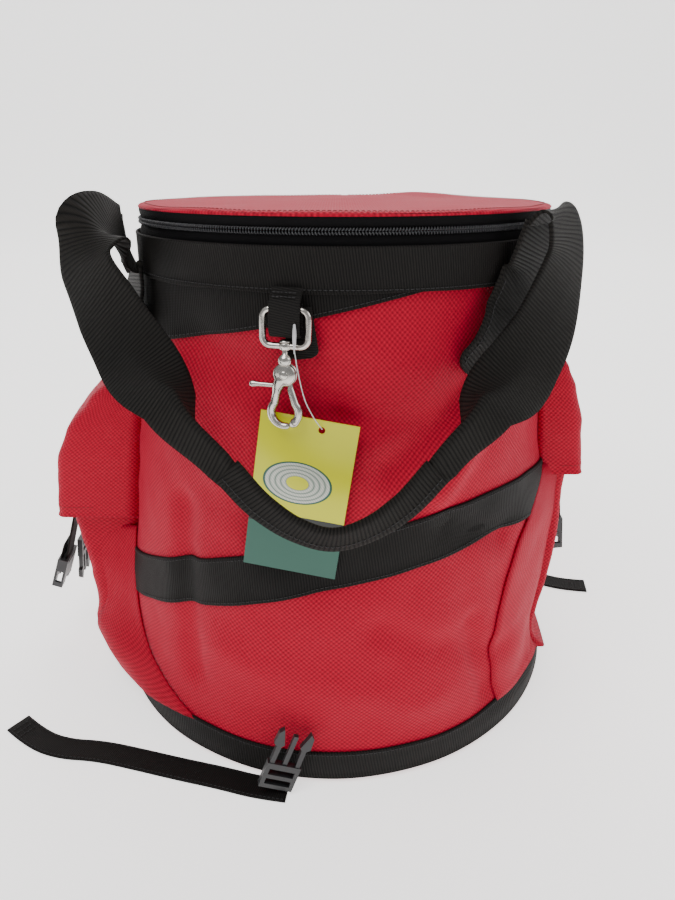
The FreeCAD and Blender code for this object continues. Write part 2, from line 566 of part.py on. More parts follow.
TAB_W = 19.0
tab_path = [(-3.9, 9.5), (0.4, 7.5), (3.2, 2.5), (3.2, -12.5), (0, -15.6), (-3.2, -12.5), (-3.2, 5.0)]
tab_face = [(0.4, 0.9), (0.6, 0.8), (1, 0.2), (1, -0.4), (0, -1), (-1, -0.4), (-1, 0)]
tab_wires = [section(V(0, y, z), V(1, 0, 0), V(0, ny, nz), TAB_W, STRAP_T)
             for (y, z), (ny, nz) in zip(tab_path, tab_face)]
tab = Part.makeLoft(tab_wires, True, True)
save("hook_tab", snap_place(tab))
tail = Part.makeBox(TAB_W, STRAP_T, 30, V(-TAB_W / 2, -6.5, -30))
tail = tail.makeFillet(5, [e for e in tail.Edges if e.BoundBox.ZMax < -29 and e.BoundBox.XLength < 0.1])
tail.rotate(V(0, 0, 0), V(0, 1, 0), 10)
tail.translate(V(-5, 0, 0))
save("hook_tab_tail", snap_place(tail))

TAG_W, TAG_H, TAG_T = 62.0, 108.0, 0.6
TAG_C, TAG_X, TAG_UP = V(-21.4, -165.6, 230), V(0.987, -0.127, -0.095), V(0.146, 0.091, 0.985)
HOLE = (8.0, 47.5)        # the tag's hole from its centre
tag = Part.makeBox(TAG_W, TAG_T, TAG_H, V(-TAG_W / 2, -TAG_T / 2, -TAG_H / 2))
tag = tag.cut(Part.makeCylinder(2.2, 4, V(HOLE[0], -2, HOLE[1]), V(0, 1, 0)))
save("hang_tag", frame_at(tag, TAG_C, TAG_X, TAG_UP))
hole = TAG_C + TAG_X * HOLE[0] + V(TAG_UP).normalize() * HOLE[1]
thread = [V(-7, 5.6, -24), V(-12, 5.4, -36), V(-18.5, 4.6, -50), V(-20.8, 0, -62)]
to_world = axes(SNAP_O, SNAP_X, SNAP_UP)
world = [to_world.multVec(p) for p in thread] + [hole + V(-0.3, -1.5, 1.0), hole + V(0, 1.0, 0)]
paddle = snap_place(Part.makeBox(4.6, 1.2, 17, V(-9.3, 5.0, -25)))
save("tag_fastener", paddle.fuse(rod(world, 0.45)).removeSplitter())
print("snap origin", SNAP_O, "x", SNAP_X, "up", SNAP_UP, "tag hole", hole)
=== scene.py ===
"""Looks of the rope storage bag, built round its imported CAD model.

Shapes are worked out in millimetres in the object's own frame and scaled to metres once, in make().
Azimuths are in degrees from the front (-Y), positive towards +X, as in the part's source.
"""
import math

import bmesh
import bpy
from mathutils import Matrix, Vector, noise


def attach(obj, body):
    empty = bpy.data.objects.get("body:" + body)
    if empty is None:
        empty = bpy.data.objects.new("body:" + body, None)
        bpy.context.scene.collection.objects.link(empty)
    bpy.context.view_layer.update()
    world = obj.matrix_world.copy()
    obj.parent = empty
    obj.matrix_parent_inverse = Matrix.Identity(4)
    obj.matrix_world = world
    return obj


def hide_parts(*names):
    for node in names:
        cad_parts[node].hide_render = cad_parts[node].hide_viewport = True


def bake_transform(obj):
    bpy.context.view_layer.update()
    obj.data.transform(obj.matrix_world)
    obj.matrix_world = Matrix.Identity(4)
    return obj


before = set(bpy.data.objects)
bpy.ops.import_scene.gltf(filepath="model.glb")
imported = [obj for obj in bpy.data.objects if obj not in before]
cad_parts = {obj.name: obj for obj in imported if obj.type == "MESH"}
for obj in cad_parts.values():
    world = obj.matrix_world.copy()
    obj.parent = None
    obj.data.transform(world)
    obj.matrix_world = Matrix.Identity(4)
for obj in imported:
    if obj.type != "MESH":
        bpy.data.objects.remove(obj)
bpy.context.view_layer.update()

MM = 0.001


def V(*xyz):
    return Vector(xyz)


def sin(a):
    return math.sin(math.radians(a))


def cos(a):
    return math.cos(math.radians(a))


def mix(a, b, t):
    return a + (b - a) * t


def ease(t):
    t = min(1.0, max(0.0, t))
    return t * t * (3 - 2 * t)


# ---------------------------------------------------------------- camera
CAMERA = (0.003, -0.581, 0.471)
CAMERA_TILT = 63.5
camera = bpy.data.objects.new("camera", bpy.data.cameras.new("camera"))
camera.location = CAMERA
camera.rotation_euler = (math.radians(CAMERA_TILT), 0, 0)
camera.data.lens = 30
camera.data.sensor_width = 36
bpy.context.scene.collection.objects.link(camera)
bpy.context.scene.camera = camera


# ---------------------------------------------------------------- mesh helpers
def make(name, parts, body=None, material=None, replaces=(), bevel=0.0, level=0):
    """One piece from (points in mm, faces, uvs) parts, riding on a body and standing for CAD nodes."""
    verts, faces, uvs = [], [], []
    for points, quads, coords in parts:
        base = len(verts)
        verts += [p * MM for p in points]
        faces += [tuple(i + base for i in q) for q in quads]
        uvs += coords
    mesh = bpy.data.meshes.new(name)
    mesh.from_pydata(verts, [], faces)
    layer = mesh.uv_layers.new(name="UVMap")
    for polygon, coords in zip(mesh.polygons, uvs):
        for loop, uv in zip(polygon.loop_indices, coords):
            layer.data[loop].uv = uv
    work = bmesh.new()
    work.from_mesh(mesh)
    bmesh.ops.recalc_face_normals(work, faces=work.faces)
    work.to_mesh(mesh)
    work.free()
    mesh.shade_smooth()
    obj = bpy.data.objects.new(name, mesh)
    bpy.context.scene.collection.objects.link(obj)
    dress(obj, material, bevel, level)
    if body:
        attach(obj, body)
    if replaces:
        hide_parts(*replaces)
    return obj


def dress(obj, material, bevel=0.0, level=0):
    """Give an object one material, and rounded edges or a finer surface where asked."""
    if material:
        obj.data.materials.clear()
        obj.data.materials.append(material)
    if bevel:
        mod = obj.modifiers.new("edges", "BEVEL")
        mod.width = bevel * MM
        mod.segments = 2
        mod.limit_method = "ANGLE"
        mod.angle_limit = math.radians(35)
        mod.harden_normals = False
    if level:
        mod = obj.modifiers.new("surface", "SUBSURF")
        mod.levels = mod.render_levels = level


def lengths(points, closed=False):
    """Distance run along a line of points, from 0."""
    run = [0.0]
    for a, b in zip(points, points[1:] + points[:1] * closed):
        run.append(run[-1] + (b - a).length)
    return run


def loft(rings, close_path=False, close_ring=True, caps=True, us=None, vs=None):
    """A skin over rings of points. Its uv map is the distance in mm along the path and round the ring."""
    m, n = len(rings), len(rings[0])
    middle = rings[m // 2]
    us = us or lengths([sum(ring, V(0, 0, 0)) / n for ring in rings], close_path)
    vs = vs or lengths(middle, close_ring)
    points = [p for ring in rings for p in ring]
    faces, uvs = [], []
    for i in range(m if close_path else m - 1):
        j = (i + 1) % m
        for k in range(n if close_ring else n - 1):
            e = (k + 1) % n
            faces.append((i * n + k, i * n + e, j * n + e, j * n + k))
            uvs.append(((us[i], vs[k]), (us[i], vs[k + 1]), (us[i + 1], vs[k + 1]), (us[i + 1], vs[k])))
    if caps and not close_path:
        for ring in (range(n), range((m - 1) * n, m * n)):
            faces.append(tuple(ring))
            uvs.append(tuple((0.5 * k, 0.0) for k in range(n)))
    return points, faces, uvs


def plan_uv(part):
    """The same part with its uv map laid flat on the ground plan, in mm."""
    points, faces, _ = part
    return points, faces, [tuple((points[i].x, points[i].y) for i in face) for face in faces]


def smooth(values, per):
    """Catmull-Rom points through values (vectors or numbers), per steps between two of them."""
    out = []
    for i in range(len(values) - 1):
        p0, p1 = values[max(i - 1, 0)], values[i]
        p2, p3 = values[i + 1], values[min(i + 2, len(values) - 1)]
        for k in range(per):
            t = k / per
            out.append(0.5 * (2 * p1 + (p2 - p0) * t + (2 * p0 - 5 * p1 + 4 * p2 - p3) * t * t
                              + (3 * p1 - p0 - 3 * p2 + p3) * t ** 3))
    return out + [values[-1]]


def web_section(width, thick, steps=8):
    """(across, out) outline of webbing with soft edges."""
    h, r, edge = thick / 2, thick * 0.45, width / 2
    xs = [mix(-edge + r, edge - r, k / steps) for k in range(steps + 1)]
    outline = [(x, h) for x in xs] + [(edge - r * 0.3, h * 0.6), (edge, 0), (edge - r * 0.3, -h * 0.6)]
    outline += [(x, -h) for x in reversed(xs)]
    return outline + [(-edge + r * 0.3, -h * 0.6), (-edge, 0), (-edge + r * 0.3, h * 0.6)]


def tangents(points):
    last = len(points) - 1
    return [(points[min(i + 1, last)] - points[max(i - 1, 0)]).normalized() for i in range(last + 1)]


def square_to(run, wide):
    """The direction nearest to wide that is square to the run."""
    return (wide - run * wide.dot(run)).normalized()


def laid(p, run, wide, outline):
    """An (across, out) outline as points square to the run."""
    across = square_to(run, wide)
    face = across.cross(run)
    return [p + across * x + face * y for x, y in outline]


def web(points, wides, widths, thick, steps=8):
    """Webbing along a line, square to its own path, as loft rings."""
    return [laid(p, run, wide, web_section(width, thick, steps))
            for p, run, wide, width in zip(points, tangents(points), wides, widths)]


def tube(points, radius, sides=12, closed=False, squash=1.0, up=None):
    """Round wire along a line; radius may be one number or one for each point."""
    count = len(points)
    radii = radius if isinstance(radius, (list, tuple)) else [radius] * count
    side = up or V(0.3, 0.2, 1)
    rings = []
    for i, p in enumerate(points):
        before, after = (i - 1) % count, (i + 1) % count
        if not closed:
            before, after = max(i - 1, 0), min(i + 1, count - 1)
        run = (points[after] - points[before]).normalized()
        x = (side - run * side.dot(run)).normalized()
        y = run.cross(x)
        if not up:
            side = x
        rings.append([p + (x * cos(360 * k / sides) * squash + y * sin(360 * k / sides)) * radii[i]
                      for k in range(sides)])
    return loft(rings, close_path=closed)


def rounded_ends(points, radii):
    """A bead's radii along a line, closed to a small dome at both ends."""
    r0, r1 = radii[0], radii[-1]
    a, b = tangents(points)[0], tangents(points)[-1]
    steps = (80, 55, 30)
    head = [points[0] - a * (r0 * sin(d)) for d in steps]
    tail = [points[-1] + b * (r1 * sin(d)) for d in reversed(steps)]
    return (head + list(points) + tail,
            [r0 * cos(d) for d in steps] + list(radii) + [r1 * cos(d) for d in reversed(steps)])


def bead(points, radius, sides=12, squash=1.0):
    """Round wire with domed ends."""
    radii = list(radius) if isinstance(radius, (list, tuple)) else [radius] * len(points)
    line, radii = rounded_ends(list(points), radii)
    return tube(line, radii, sides, squash=squash)


def stitches(points, outs, pitch=3.2, length=2.3, radius=0.28):
    """A row of thread stitches laid along a line, a little above its surface."""
    run = lengths(points)
    parts, at, i = [], pitch * 0.5, 0
    while at + length < run[-1]:
        ends = []
        for d in (at, at + length):
            while run[i + 1] < d:
                i += 1
            t = (d - run[i]) / max(run[i + 1] - run[i], 1e-6)
            ends.append((mix(points[i], points[i + 1], t), mix(outs[i], outs[i + 1], t)))
        i = max(i - 2, 0)
        (p, n), (q, m) = ends
        middle = (p + q) / 2 + (n + m).normalized() * radius
        parts.append(tube([p - n * radius, mix(p, middle, 0.4), middle, mix(q, middle, 0.4), q - m * radius],
                          radius, 5))
        at += pitch
    return parts


def sew(name, rows, body="bag"):
    """Rows of black stitches as one piece."""
    return make(name, rows, body, THREAD)


def strip(name, rings, body, material, *nodes):
    """A length of webbing as one piece, standing for its CAD nodes."""
    return make(name, [loft(rings)], body, material, nodes)


def hoop(name, rings, body, material, node):
    """A strip that runs all the way round the bag."""
    return make(name, [loft(rings, close_path=True, us=ARC)], body, material, (node,))


# ---------------------------------------------------------------- materials
class Shader:
    """A Principled material with a few short ways to wire its nodes."""

    def __init__(self, name, rough, metal=0.0, **inputs):
        self.material = bpy.data.materials.new(name)
        self.material.use_nodes = True
        self.tree = self.material.node_tree
        self.bsdf = self.tree.nodes["Principled BSDF"]
        self.bsdf.inputs["Roughness"].default_value = rough
        self.bsdf.inputs["Metallic"].default_value = metal
        for key, value in inputs.items():
            self.bsdf.inputs[key.replace("_", " ")].default_value = value

    def node(self, kind, *links, **values):
        node = self.tree.nodes.new("ShaderNode" + kind)
        for key, value in values.items():
            if hasattr(node, key):
                setattr(node, key, value)
            else:
                node.inputs[key.replace("_", " ")].default_value = value
        for i, source in enumerate(links):
            if source is not None:
                self.put(source, node.inputs[i])
        return node

    def put(self, source, socket):
        if isinstance(source, (int, float)):
            socket.default_value = source
        else:
            self.tree.links.new(source, socket)

    def math(self, operation, a, b=0.0, c=0.0):
        return self.node("Math", a, b, c, operation=operation).outputs[0]

    def times(self, a, b):
        return self.math("MULTIPLY", a, b)

    def scaled(self, a, by, plus):
        return self.math("MULTIPLY_ADD", a, by, plus)

    def rough(self, source):
        self.put(source, self.bsdf.inputs["Roughness"])

    def uv(self):
        """The uv map's two coordinates, in mm."""
        parts = self.node("SeparateXYZ", self.node("TexCoord").outputs["UV"])
        return parts.outputs[0], parts.outputs[1]

    def wave(self, x, pitch, power=1.0):
        """|sin| of a coordinate, one hump for each pitch."""
        hump = self.math("ABSOLUTE", self.math("SINE", self.math("MULTIPLY", x, math.pi / pitch)))
        return self.math("POWER", hump, power) if power != 1.0 else hump

    def noise(self, scale, detail=2.0, coords="Object"):
        vector = self.node("TexCoord").outputs[coords]
        return self.node("TexNoise", vector, Scale=scale, Detail=detail).outputs["Fac"]

    def ramp(self, factor, *stops):
        """A colour for a factor, through (place, colour) stops."""
        node = self.node("ValToRGB", factor)
        ramp = node.color_ramp
        while len(ramp.elements) < len(stops):
            ramp.elements.new(0.5)
        for element, (place, colour) in zip(ramp.elements, stops):
            element.position = place
            element.color = (*colour, 1.0)
        return node.outputs[0]

    def blend(self, factor, a, b, how="MIX"):
        node = self.tree.nodes.new("ShaderNodeMix")
        node.data_type = "RGBA"
        node.blend_type = how
        for source, i in ((factor, 0), (a, 6), (b, 7)):
            if isinstance(source, tuple):
                node.inputs[i].default_value = (*source, 1.0)
            else:
                self.put(source, node.inputs[i])
        return node.outputs[2]

    def colour(self, source):
        if isinstance(source, tuple):
            self.bsdf.inputs["Base Color"].default_value = (*source, 1.0)
        else:
            self.put(source, self.bsdf.inputs["Base Color"])

    def bump(self, height, depth, under=None):
        """Bump of that depth in mm from a height of 0 to 1."""
        node = self.node("Bump", Distance=depth * MM, Strength=1.0)
        self.put(height, node.inputs["Height"])
        if under is not None:
            self.put(under, node.inputs["Normal"])
        self.put(node.outputs[0], self.bsdf.inputs["Normal"])
        return node.outputs[0]


def cordura(name, bright, deep, pitch=1.75):
    """Coated basket weave: a checker of thread humps, its colour darkened in the hollows of the weave as
    painted shade, pale at grazing angles.
    """
    s = Shader(name, 0.66, Specular_IOR_Level=0.14, Sheen_Weight=0.10, Sheen_Roughness=0.5)
    s.bsdf.inputs["Sheen Tint"].default_value = (1.0, 0.16, 0.28, 1.0)
    u, v = s.uv()
    warp = s.math("SINE", s.times(u, math.pi / pitch))
    weft = s.math("SINE", s.times(v, math.pi / pitch))
    checker = s.scaled(s.times(warp, weft), 0.5, 0.5)
    threads = s.wave(u, pitch / 4)
    height = s.scaled(threads, 0.12, s.times(checker, 0.88))
    wear = s.noise(9.0, 4.0)
    # painted shade: the colour goes from the bright red towards the deep one where the weave's checker is
    # low, in the hollows between thread humps
    base = s.blend(s.scaled(checker, 0.85, 0.15), deep, bright)
    base = s.blend(s.times(wear, 0.22), base, s.blend(0.5, deep, bright))
    s.colour(base)
    s.rough(s.scaled(wear, 0.12, 0.56))
    s.bump(height, 0.45, s.bump(s.noise(55.0, 3.0), 0.8))
    return s.material


def webbing(name, pitch, crest_highlight=(0.0125, 0.0108, 0.0095), dip_shade=(0.0010, 0.0010, 0.0012), depth=0.45, fine=0.9):
    """Ribbed polyester webbing: ribs across the width, each a row of small slanting thread humps, coloured
    with painted shade in the hollows and a brownish painted highlight on the rib tops.
    """
    s = Shader(name, 0.62, Specular_IOR_Level=0.13)
    u, v = s.uv()
    slant = s.scaled(v, 0.16, u)
    rib = s.wave(slant, pitch, 0.8)
    grain = s.wave(s.scaled(u, 0.45, v), fine)
    height = s.scaled(grain, 0.22, s.times(rib, 0.78))
    # shine is a painted highlight: higher thread humps get the lighter brownish colour, lower ones the
    # painted shade colour
    shine = s.times(height, s.scaled(s.noise(14.0, 3.0), 0.8, 0.45))
    s.colour(s.ramp(shine, (0.1, dip_shade), (0.85, crest_highlight)))
    s.rough(s.scaled(rib, -0.14, 0.72))
    s.bump(height, depth, s.bump(s.noise(60.0, 2.0), 0.4))
    return s.material


def plastic(name, colour=(0.012, 0.012, 0.013), rough=0.38):
    """Moulded acetal: near black, satin, finely uneven."""
    s = Shader(name, rough, Specular_IOR_Level=0.45)
    s.colour(s.blend(s.noise(120.0, 3.0), colour, tuple(1.8 * c for c in colour)))
    s.rough(s.scaled(s.noise(300.0, 4.0), 0.25, rough - 0.1))
    s.bump(s.noise(900.0, 2.0), 0.06)
    return s.material


def nickel(name, colour=(0.60, 0.57, 0.52)):
    """Nickel plate over a casting: bright, with a faint uneven polish."""
    s = Shader(name, 0.22, 1.0)
    cloud = s.noise(160.0, 4.0)
    s.colour(s.ramp(cloud, (0.3, tuple(0.72 * c for c in colour)), (0.7, colour)))
    s.rough(s.scaled(s.noise(420.0, 5.0), 0.22, 0.10))
    s.bump(s.noise(700.0, 3.0), 0.05)
    return s.material


def plain(name, colour, rough, grain=500.0, depth=0.05, **inputs):
    """A small even surface with a fine grain."""
    s = Shader(name, rough, **inputs)
    s.colour(s.blend(s.noise(grain * 0.3, 3.0), tuple(0.82 * c for c in colour), colour))
    s.bump(s.noise(grain, 3.0), depth)
    return s.material


def tape(name):
    """Fine twill zipper tape, lighter along the twill ridges as painted highlight and darker between them as
    painted shade.
    """
    s = Shader(name, 0.78, Specular_IOR_Level=0.10)
    u, v = s.uv()
    twill = s.wave(s.scaled(v, 0.8, u), 0.6)
    # painted shading: the colour follows the twill's height, as the bump does
    s.colour(s.ramp(twill, (0.0, (0.0012, 0.0012, 0.0015)), (1.0, (0.0055, 0.005, 0.0055))))
    s.bump(twill, 0.14)
    return s.material


def card_print(name, corner, across, up, width, height):
    """The tag's face: yellow, a black strip and dark green, with a plain coil of rope as its picture."""
    s = Shader(name, 0.34, Specular_IOR_Level=0.5)
    place = s.node("VectorMath", s.node("TexCoord").outputs["Object"], operation="SUBTRACT")
    place.inputs[1].default_value = corner * MM

    def distance(axis):
        dot = s.node("VectorMath", place.outputs[0], operation="DOT_PRODUCT")
        dot.inputs[1].default_value = axis / MM
        return dot.outputs["Value"]

    u, v = distance(across), distance(up)
    yellow, green, ink = (0.60, 0.60, 0.004), (0.006, 0.085, 0.055), (0.008, 0.010, 0.008)
    x = s.math("SUBTRACT", u, width * 0.50)
    y = s.math("SUBTRACT", v, height * 0.60)
    spread = s.math("SQRT", s.math("ADD", s.times(x, x),
                                   s.times(s.times(y, y), 2.4)))
    turns = s.wave(spread, 3.6, 0.6)
    inside = s.times(s.math("LESS_THAN", spread, 21.0), s.math("GREATER_THAN", spread, 7.2))
    strands = s.wave(s.math("ADD", x, s.times(y, 0.9)), 1.9)
    rope = s.blend(s.times(turns, s.scaled(strands, 0.35, 0.65)),
                   green, (0.62, 0.62, 0.55))
    rim_line = s.math("LESS_THAN", s.math("ABSOLUTE", s.math("SUBTRACT", spread, 21.6)), 0.8)
    face = s.blend(inside, s.blend(rim_line, yellow, green), rope)
    face = s.blend(s.math("LESS_THAN", v, height * 0.385), face, ink)
    face = s.blend(s.math("LESS_THAN", v, height * 0.315), face, green)
    s.colour(face)
    s.bump(s.noise(220.0, 2.0), 0.05)
    return s.material


# each cordura material's second colour is the painted shade in the hollows of its weave (red_cordura,
# red_base and pad_cloth)
RED = cordura("red_cordura", (0.56, 0.0020, 0.0300), (0.155, 0.0006, 0.0075))
RED_BASE = cordura("red_base", (0.46, 0.002, 0.024), (0.14, 0.0006, 0.006))
# webbing colours ramp from painted shade between the ribs to a painted highlight on the rib tops; the handle
# webbing has a lighter painted highlight
BAND = webbing("band_webbing", 1.9)
HANDLE = webbing("handle_webbing", 2.4, (0.0145, 0.0125, 0.0105), depth=0.75)
NARROW = webbing("narrow_webbing", 1.5, depth=0.35)
TAPE_CLOTH = tape("zipper_tape")
COIL = plain("zipper_coil", (0.035, 0.035, 0.038), 0.30, Specular_IOR_Level=0.6)
PLASTIC = plastic("black_plastic")
METAL = nickel("nickel_plate")
BLACK_METAL = plain("black_enamel", (0.020, 0.020, 0.022), 0.32, 300.0, 0.04, Specular_IOR_Level=0.5)
THREAD = plain("black_thread", (0.012, 0.011, 0.012), 0.55)
RED_THREAD = plain("red_thread", (0.26, 0.004, 0.012), 0.55)
PAD = cordura("pad_cloth", (0.011, 0.0105, 0.011), (0.003, 0.003, 0.0035))
CLEAR = plain("clear_nylon", (0.82, 0.82, 0.84), 0.28, 200.0, 0.03, Transmission_Weight=0.35)

# ---------------------------------------------------------------- the bag's wall, as in the part's source
BASE_R, RIM_R, RIM_Z, RIM_X, RIM_TILT, TAPE = 190.0, 148.6, 377.0, 8.0, 6.0, 10.0
CLOTH, BAND_T = 3.0, 1.8
DENT, DENT_Z, DENT_SPAN = 22.0, 18.0, 24.0
MID_BAND, RIM_BAND = 38.0, 25.0
COIL_R = 149.6
LID_EDGE, LID_T, LID_CROWN = 9.0, 3.0, 4.0
MM_PER_DEGREE = 2.95      # unrolled width of one degree of the wall

# soft folds: start (azimuth, height), end (azimuth, height), half width, depth (minus is inwards), in mm
FOLDS = (
    ((-36, 318), (-4, 284), 19, -8.0),
    ((0, 281), (18, 277), 10, -5.0),
    ((0, 330), (20, 308), 12, 4.0),
    ((38, 300), (12, 246), 13, -9.0),
    ((36, 272), (24, 226), 11, 6.0),
    ((44, 318), (38, 286), 12, 4.0),
    ((-46, 300), (-30, 236), 15, 3.0),
    ((-42, 200), (-36, 70), 12, -6.0),
    ((26, 200), (44, 176), 11, -4.5),
    ((-26, 96), (24, 60), 18, 3.5),
    ((10, 128), (44, 74), 11, -4.0),
    ((34, 112), (40, 40), 9, -5.0),
    ((-16, 196), (-4, 168), 14, -3.5),
    ((150, 250), (185, 200), 18, -5.0),
    ((215, 190), (180, 110), 20, -4.0),
    ((160, 120), (200, 80), 16, 3.5),
)


def fold(a, z):
    """Depth of the soft folds at a place on the wall."""
    depth = 0.0
    for (a0, z0), (a1, z1), half, deep in FOLDS:
        x = ((a - a0 + 180) % 360 - 180) * MM_PER_DEGREE
        dx, dz = (a1 - a0) * MM_PER_DEGREE, z1 - z0
        t = min(1.0, max(0.0, (x * dx + (z - z0) * dz) / (dx * dx + dz * dz)))
        away = math.hypot(x - dx * t, z - z0 - dz * t) / half
        if away < 3:
            depth += deep * math.exp(-away * away)
    place = V(sin(a), -cos(a), z / 150.0)
    depth += 2.6 * noise.noise(place * 2.1 + V(3.1, 0, 0)) + 1.1 * noise.noise(place * 6.5 + V(0, 7.7, 0))
    return depth


def wall_x(z):
    return RIM_X * z / RIM_Z


def rim(a, r, h):
    """A point in the mouth's own tilted frame."""
    y = -r * cos(a)
    return V(RIM_X + r * sin(a), y * cos(RIM_TILT) + h * sin(RIM_TILT),
             RIM_Z - y * sin(RIM_TILT) + h * cos(RIM_TILT))


def wall_r(a, z):
    r = BASE_R - (BASE_R - RIM_R) * z / (RIM_Z - TAPE)
    if z > DENT_Z:
        t = (z - DENT_Z) / DENT_SPAN
        r -= DENT * t * math.exp(1 - t) * math.exp(-(((a + 180) % 360 - 180 - 90) / 32.0) ** 2)
    return r


def wall(a, z, out=0.0):
    """A point out from the folded wall's outer face, which runs into the mouth's tilted frame at the top."""
    top = rim(a, RIM_R + out, -TAPE)
    soft = ease((z - 6) / 40) * ease((top.z - z - 8) / 55)
    r = wall_r(a, z) + fold(a, z) * soft + out
    k = ease((z - top.z + 60) / 60)
    return V(mix(wall_x(z) + r * sin(a), top.x, k), mix(-r * cos(a), top.y, k), z)


def out_of(a):
    return V(sin(a), -cos(a), 0.11).normalized()


AROUND = [i * 1.2 - 180 for i in range(300)]
ARC = [math.radians(1.2) * 168 * i for i in range(301)]


def bag_wall():
    rings = []
    for a in AROUND:
        top = rim(a, RIM_R, -TAPE).z
        zs = [mix(2.6, top, k / 74) for k in range(75)]
        outer = [wall(a, z) for z in zs]
        outer[0] = wall(a, zs[0], -1.2)
        rings.append(outer + [wall(a, z, -CLOTH) for z in reversed(zs[::3])])
    make("bag_wall", [loft(rings, close_path=True, us=ARC)], "bag", RED,
         ("body_front_panel", "body_back_panel"))


def bag_base():
    profile = [(2, 0.6), (60, 0.4), (120, 0.2), (160, 0.1), (180, 0), (184.5, 0.15), (187.2, 0.9),
               (188.6, 2.4), (188.4, 4.4), (184, 5.0), (120, 4.6), (40, 4.5), (2, 4.5)]
    rings = [[V(r * sin(a), -r * cos(a), z) for a in AROUND[::2]] for r, z in profile]
    make("bag_base", [plan_uv(loft(rings))], "bag", RED_BASE, ("base_panel",))


bag_wall()
bag_base()

# ---------------------------------------------------------------- sewn webbing bands
# (share of the width, share of the thickness) round a band's section
BAND_EDGE = [(0.0, 0.1), (0.0, 0.6), (0.012, 0.92), (0.035, 1.0), (0.07, 0.86), (0.28, 0.9), (0.5, 0.92),
             (0.72, 0.9), (0.93, 0.86), (0.965, 1.0), (0.988, 0.92), (1.0, 0.6), (1.0, 0.1), (0.5, 0.05)]


def band_rings(low, high, out, azimuths):
    """Webbing round the bag between two height lines; its section has a slightly raised selvedge."""
    rings = []
    for a in azimuths:
        z0, z1 = low(a), high(a)
        rings.append([wall(a, mix(z0, z1, s), out + BAND_T * h) for s, h in BAND_EDGE])
    return rings


def on_slope(z0, front, right):
    """Height line z0 + front * (-y / 170) + right * (x / 170) followed round the wall."""
    def line(a):
        z = z0
        for _ in range(4):
            r = wall_r(a, z)
            z = z0 + front * r * cos(a) / 170 + right * (wall_x(z) + r * sin(a)) / 170
        return z
    return line


def raised(line, by):
    """A height line moved up, in mm."""
    def moved(a):
        return line(a) + by
    return moved


def seam(name, height, out, azimuths):
    sew(name, stitches([wall(a, height(a), out) for a in azimuths], [out_of(a) for a in azimuths]))


def ripple(a):
    """Small unevenness of a sewn edge, in mm."""
    return 1.1 * noise.noise(V(sin(a) * 3, cos(a) * 3, 0.4))


def below_zip(a, down):
    """Height of the wall so far below the zipper's plane."""
    return rim(a, RIM_R, -down).z


RIM_SLOPE = on_slope(330, 17.5, 40)
SEAM_IN = 2.6             # a seam's distance from its webbing's edge


def lower_rim_low(a):
    return min(RIM_SLOPE(a), below_zip(a, 30))


def bands():
    front = [a for a in AROUND if abs(a) <= 90.1]
    back = sorted(a % 360 for a in AROUND if abs(a) >= 89.9)
    hoop("bottom_band_trim",
         band_rings(lambda a: 3.4 + ripple(a), lambda a: 26.5 + 1.5 * ripple(a), 0.2, AROUND),
         "bag", BAND, "bottom_band")
    for name, azimuths, tilt in (("mid_band_front", front, 54), ("mid_band_back", back, 10)):
        low, high = on_slope(126 - MID_BAND / 2, tilt, 43), on_slope(126 + MID_BAND / 2, tilt, 43)
        strip(name + "_webbing", band_rings(low, high, 0.2, azimuths), "bag", BAND, name)
        seam(name + "_stitches_low", raised(low, SEAM_IN), BAND_T + 0.05, azimuths)
        seam(name + "_stitches_high", raised(high, -SEAM_IN), BAND_T + 0.05, azimuths)
    hoop("lower_rim_webbing", band_rings(lower_rim_low, lambda a: below_zip(a, TAPE + 1.5), 0.2, AROUND),
         "bag", BAND, "lower_rim_band")
    hoop("upper_rim_webbing",
         band_rings(lambda a: below_zip(a, TAPE + RIM_BAND) + 1.2 * ripple(a),
                    lambda a: below_zip(a, TAPE - 2.6), BAND_T + 0.25, AROUND),
         "bag", BAND, "upper_rim_band")
    seam("lower_rim_stitches", raised(lower_rim_low, 2.4), BAND_T + 0.05, AROUND)
    seam("upper_rim_stitches", lambda a: below_zip(a, TAPE + RIM_BAND - SEAM_IN), 2 * BAND_T + 0.3, AROUND)
    seam("bottom_stitches", lambda a: 24.6 + 1.5 * ripple(a), BAND_T + 0.05, AROUND)


bands()

# ---------------------------------------------------------------- zipper, lid edge and lid
def rim_rings(profile, azimuths=AROUND):
    return [[rim(a, r, h) for r, h in profile] for a in azimuths]


def zipper():
    """Two twill tapes whose edges meet under the coils."""
    inner, outer = RIM_R - 2.6, RIM_R - 0.9
    lower = [(inner, -TAPE - 1), (inner - 0.2, -4), (inner + 0.3, -0.15), (outer - 0.5, -0.15),
             (outer - 0.1, -2.4), (outer + 0.7, -4.5), (outer + 1.3, -TAPE + 2), (outer, -TAPE - 1)]
    upper = [(inner, LID_EDGE + 0.5), (inner - 0.2, 4), (inner + 0.3, 0.15), (outer - 0.5, 0.15),
             (outer - 0.1, 2.4), (outer + 0.8, 4.0), (outer + 1.2, 6.5), (outer + 1.0, LID_EDGE + 0.6)]
    hoop("body_tape", rim_rings(lower), "bag", TAPE_CLOTH, "body_zipper_tape")
    hoop("lid_tape", rim_rings(upper), "lid", TAPE_CLOTH, "lid_zipper_tape")
    turns, per = 490, 7
    for name, body, sign in (("body", "bag", -1), ("lid", "lid", 1)):
        line = []
        for k in range(turns * per):
            a, phase = 180 + 360 * k / (turns * per), 360 * k / per
            line.append(rim(a, RIM_R + 0.1 + 0.85 * cos(phase), sign * (1.05 + 0.8 * sin(phase))))
        make(name + "_coil", [tube(line, 0.42, 4, closed=True)], body, COIL,
             (name + "_zipper_coil",))


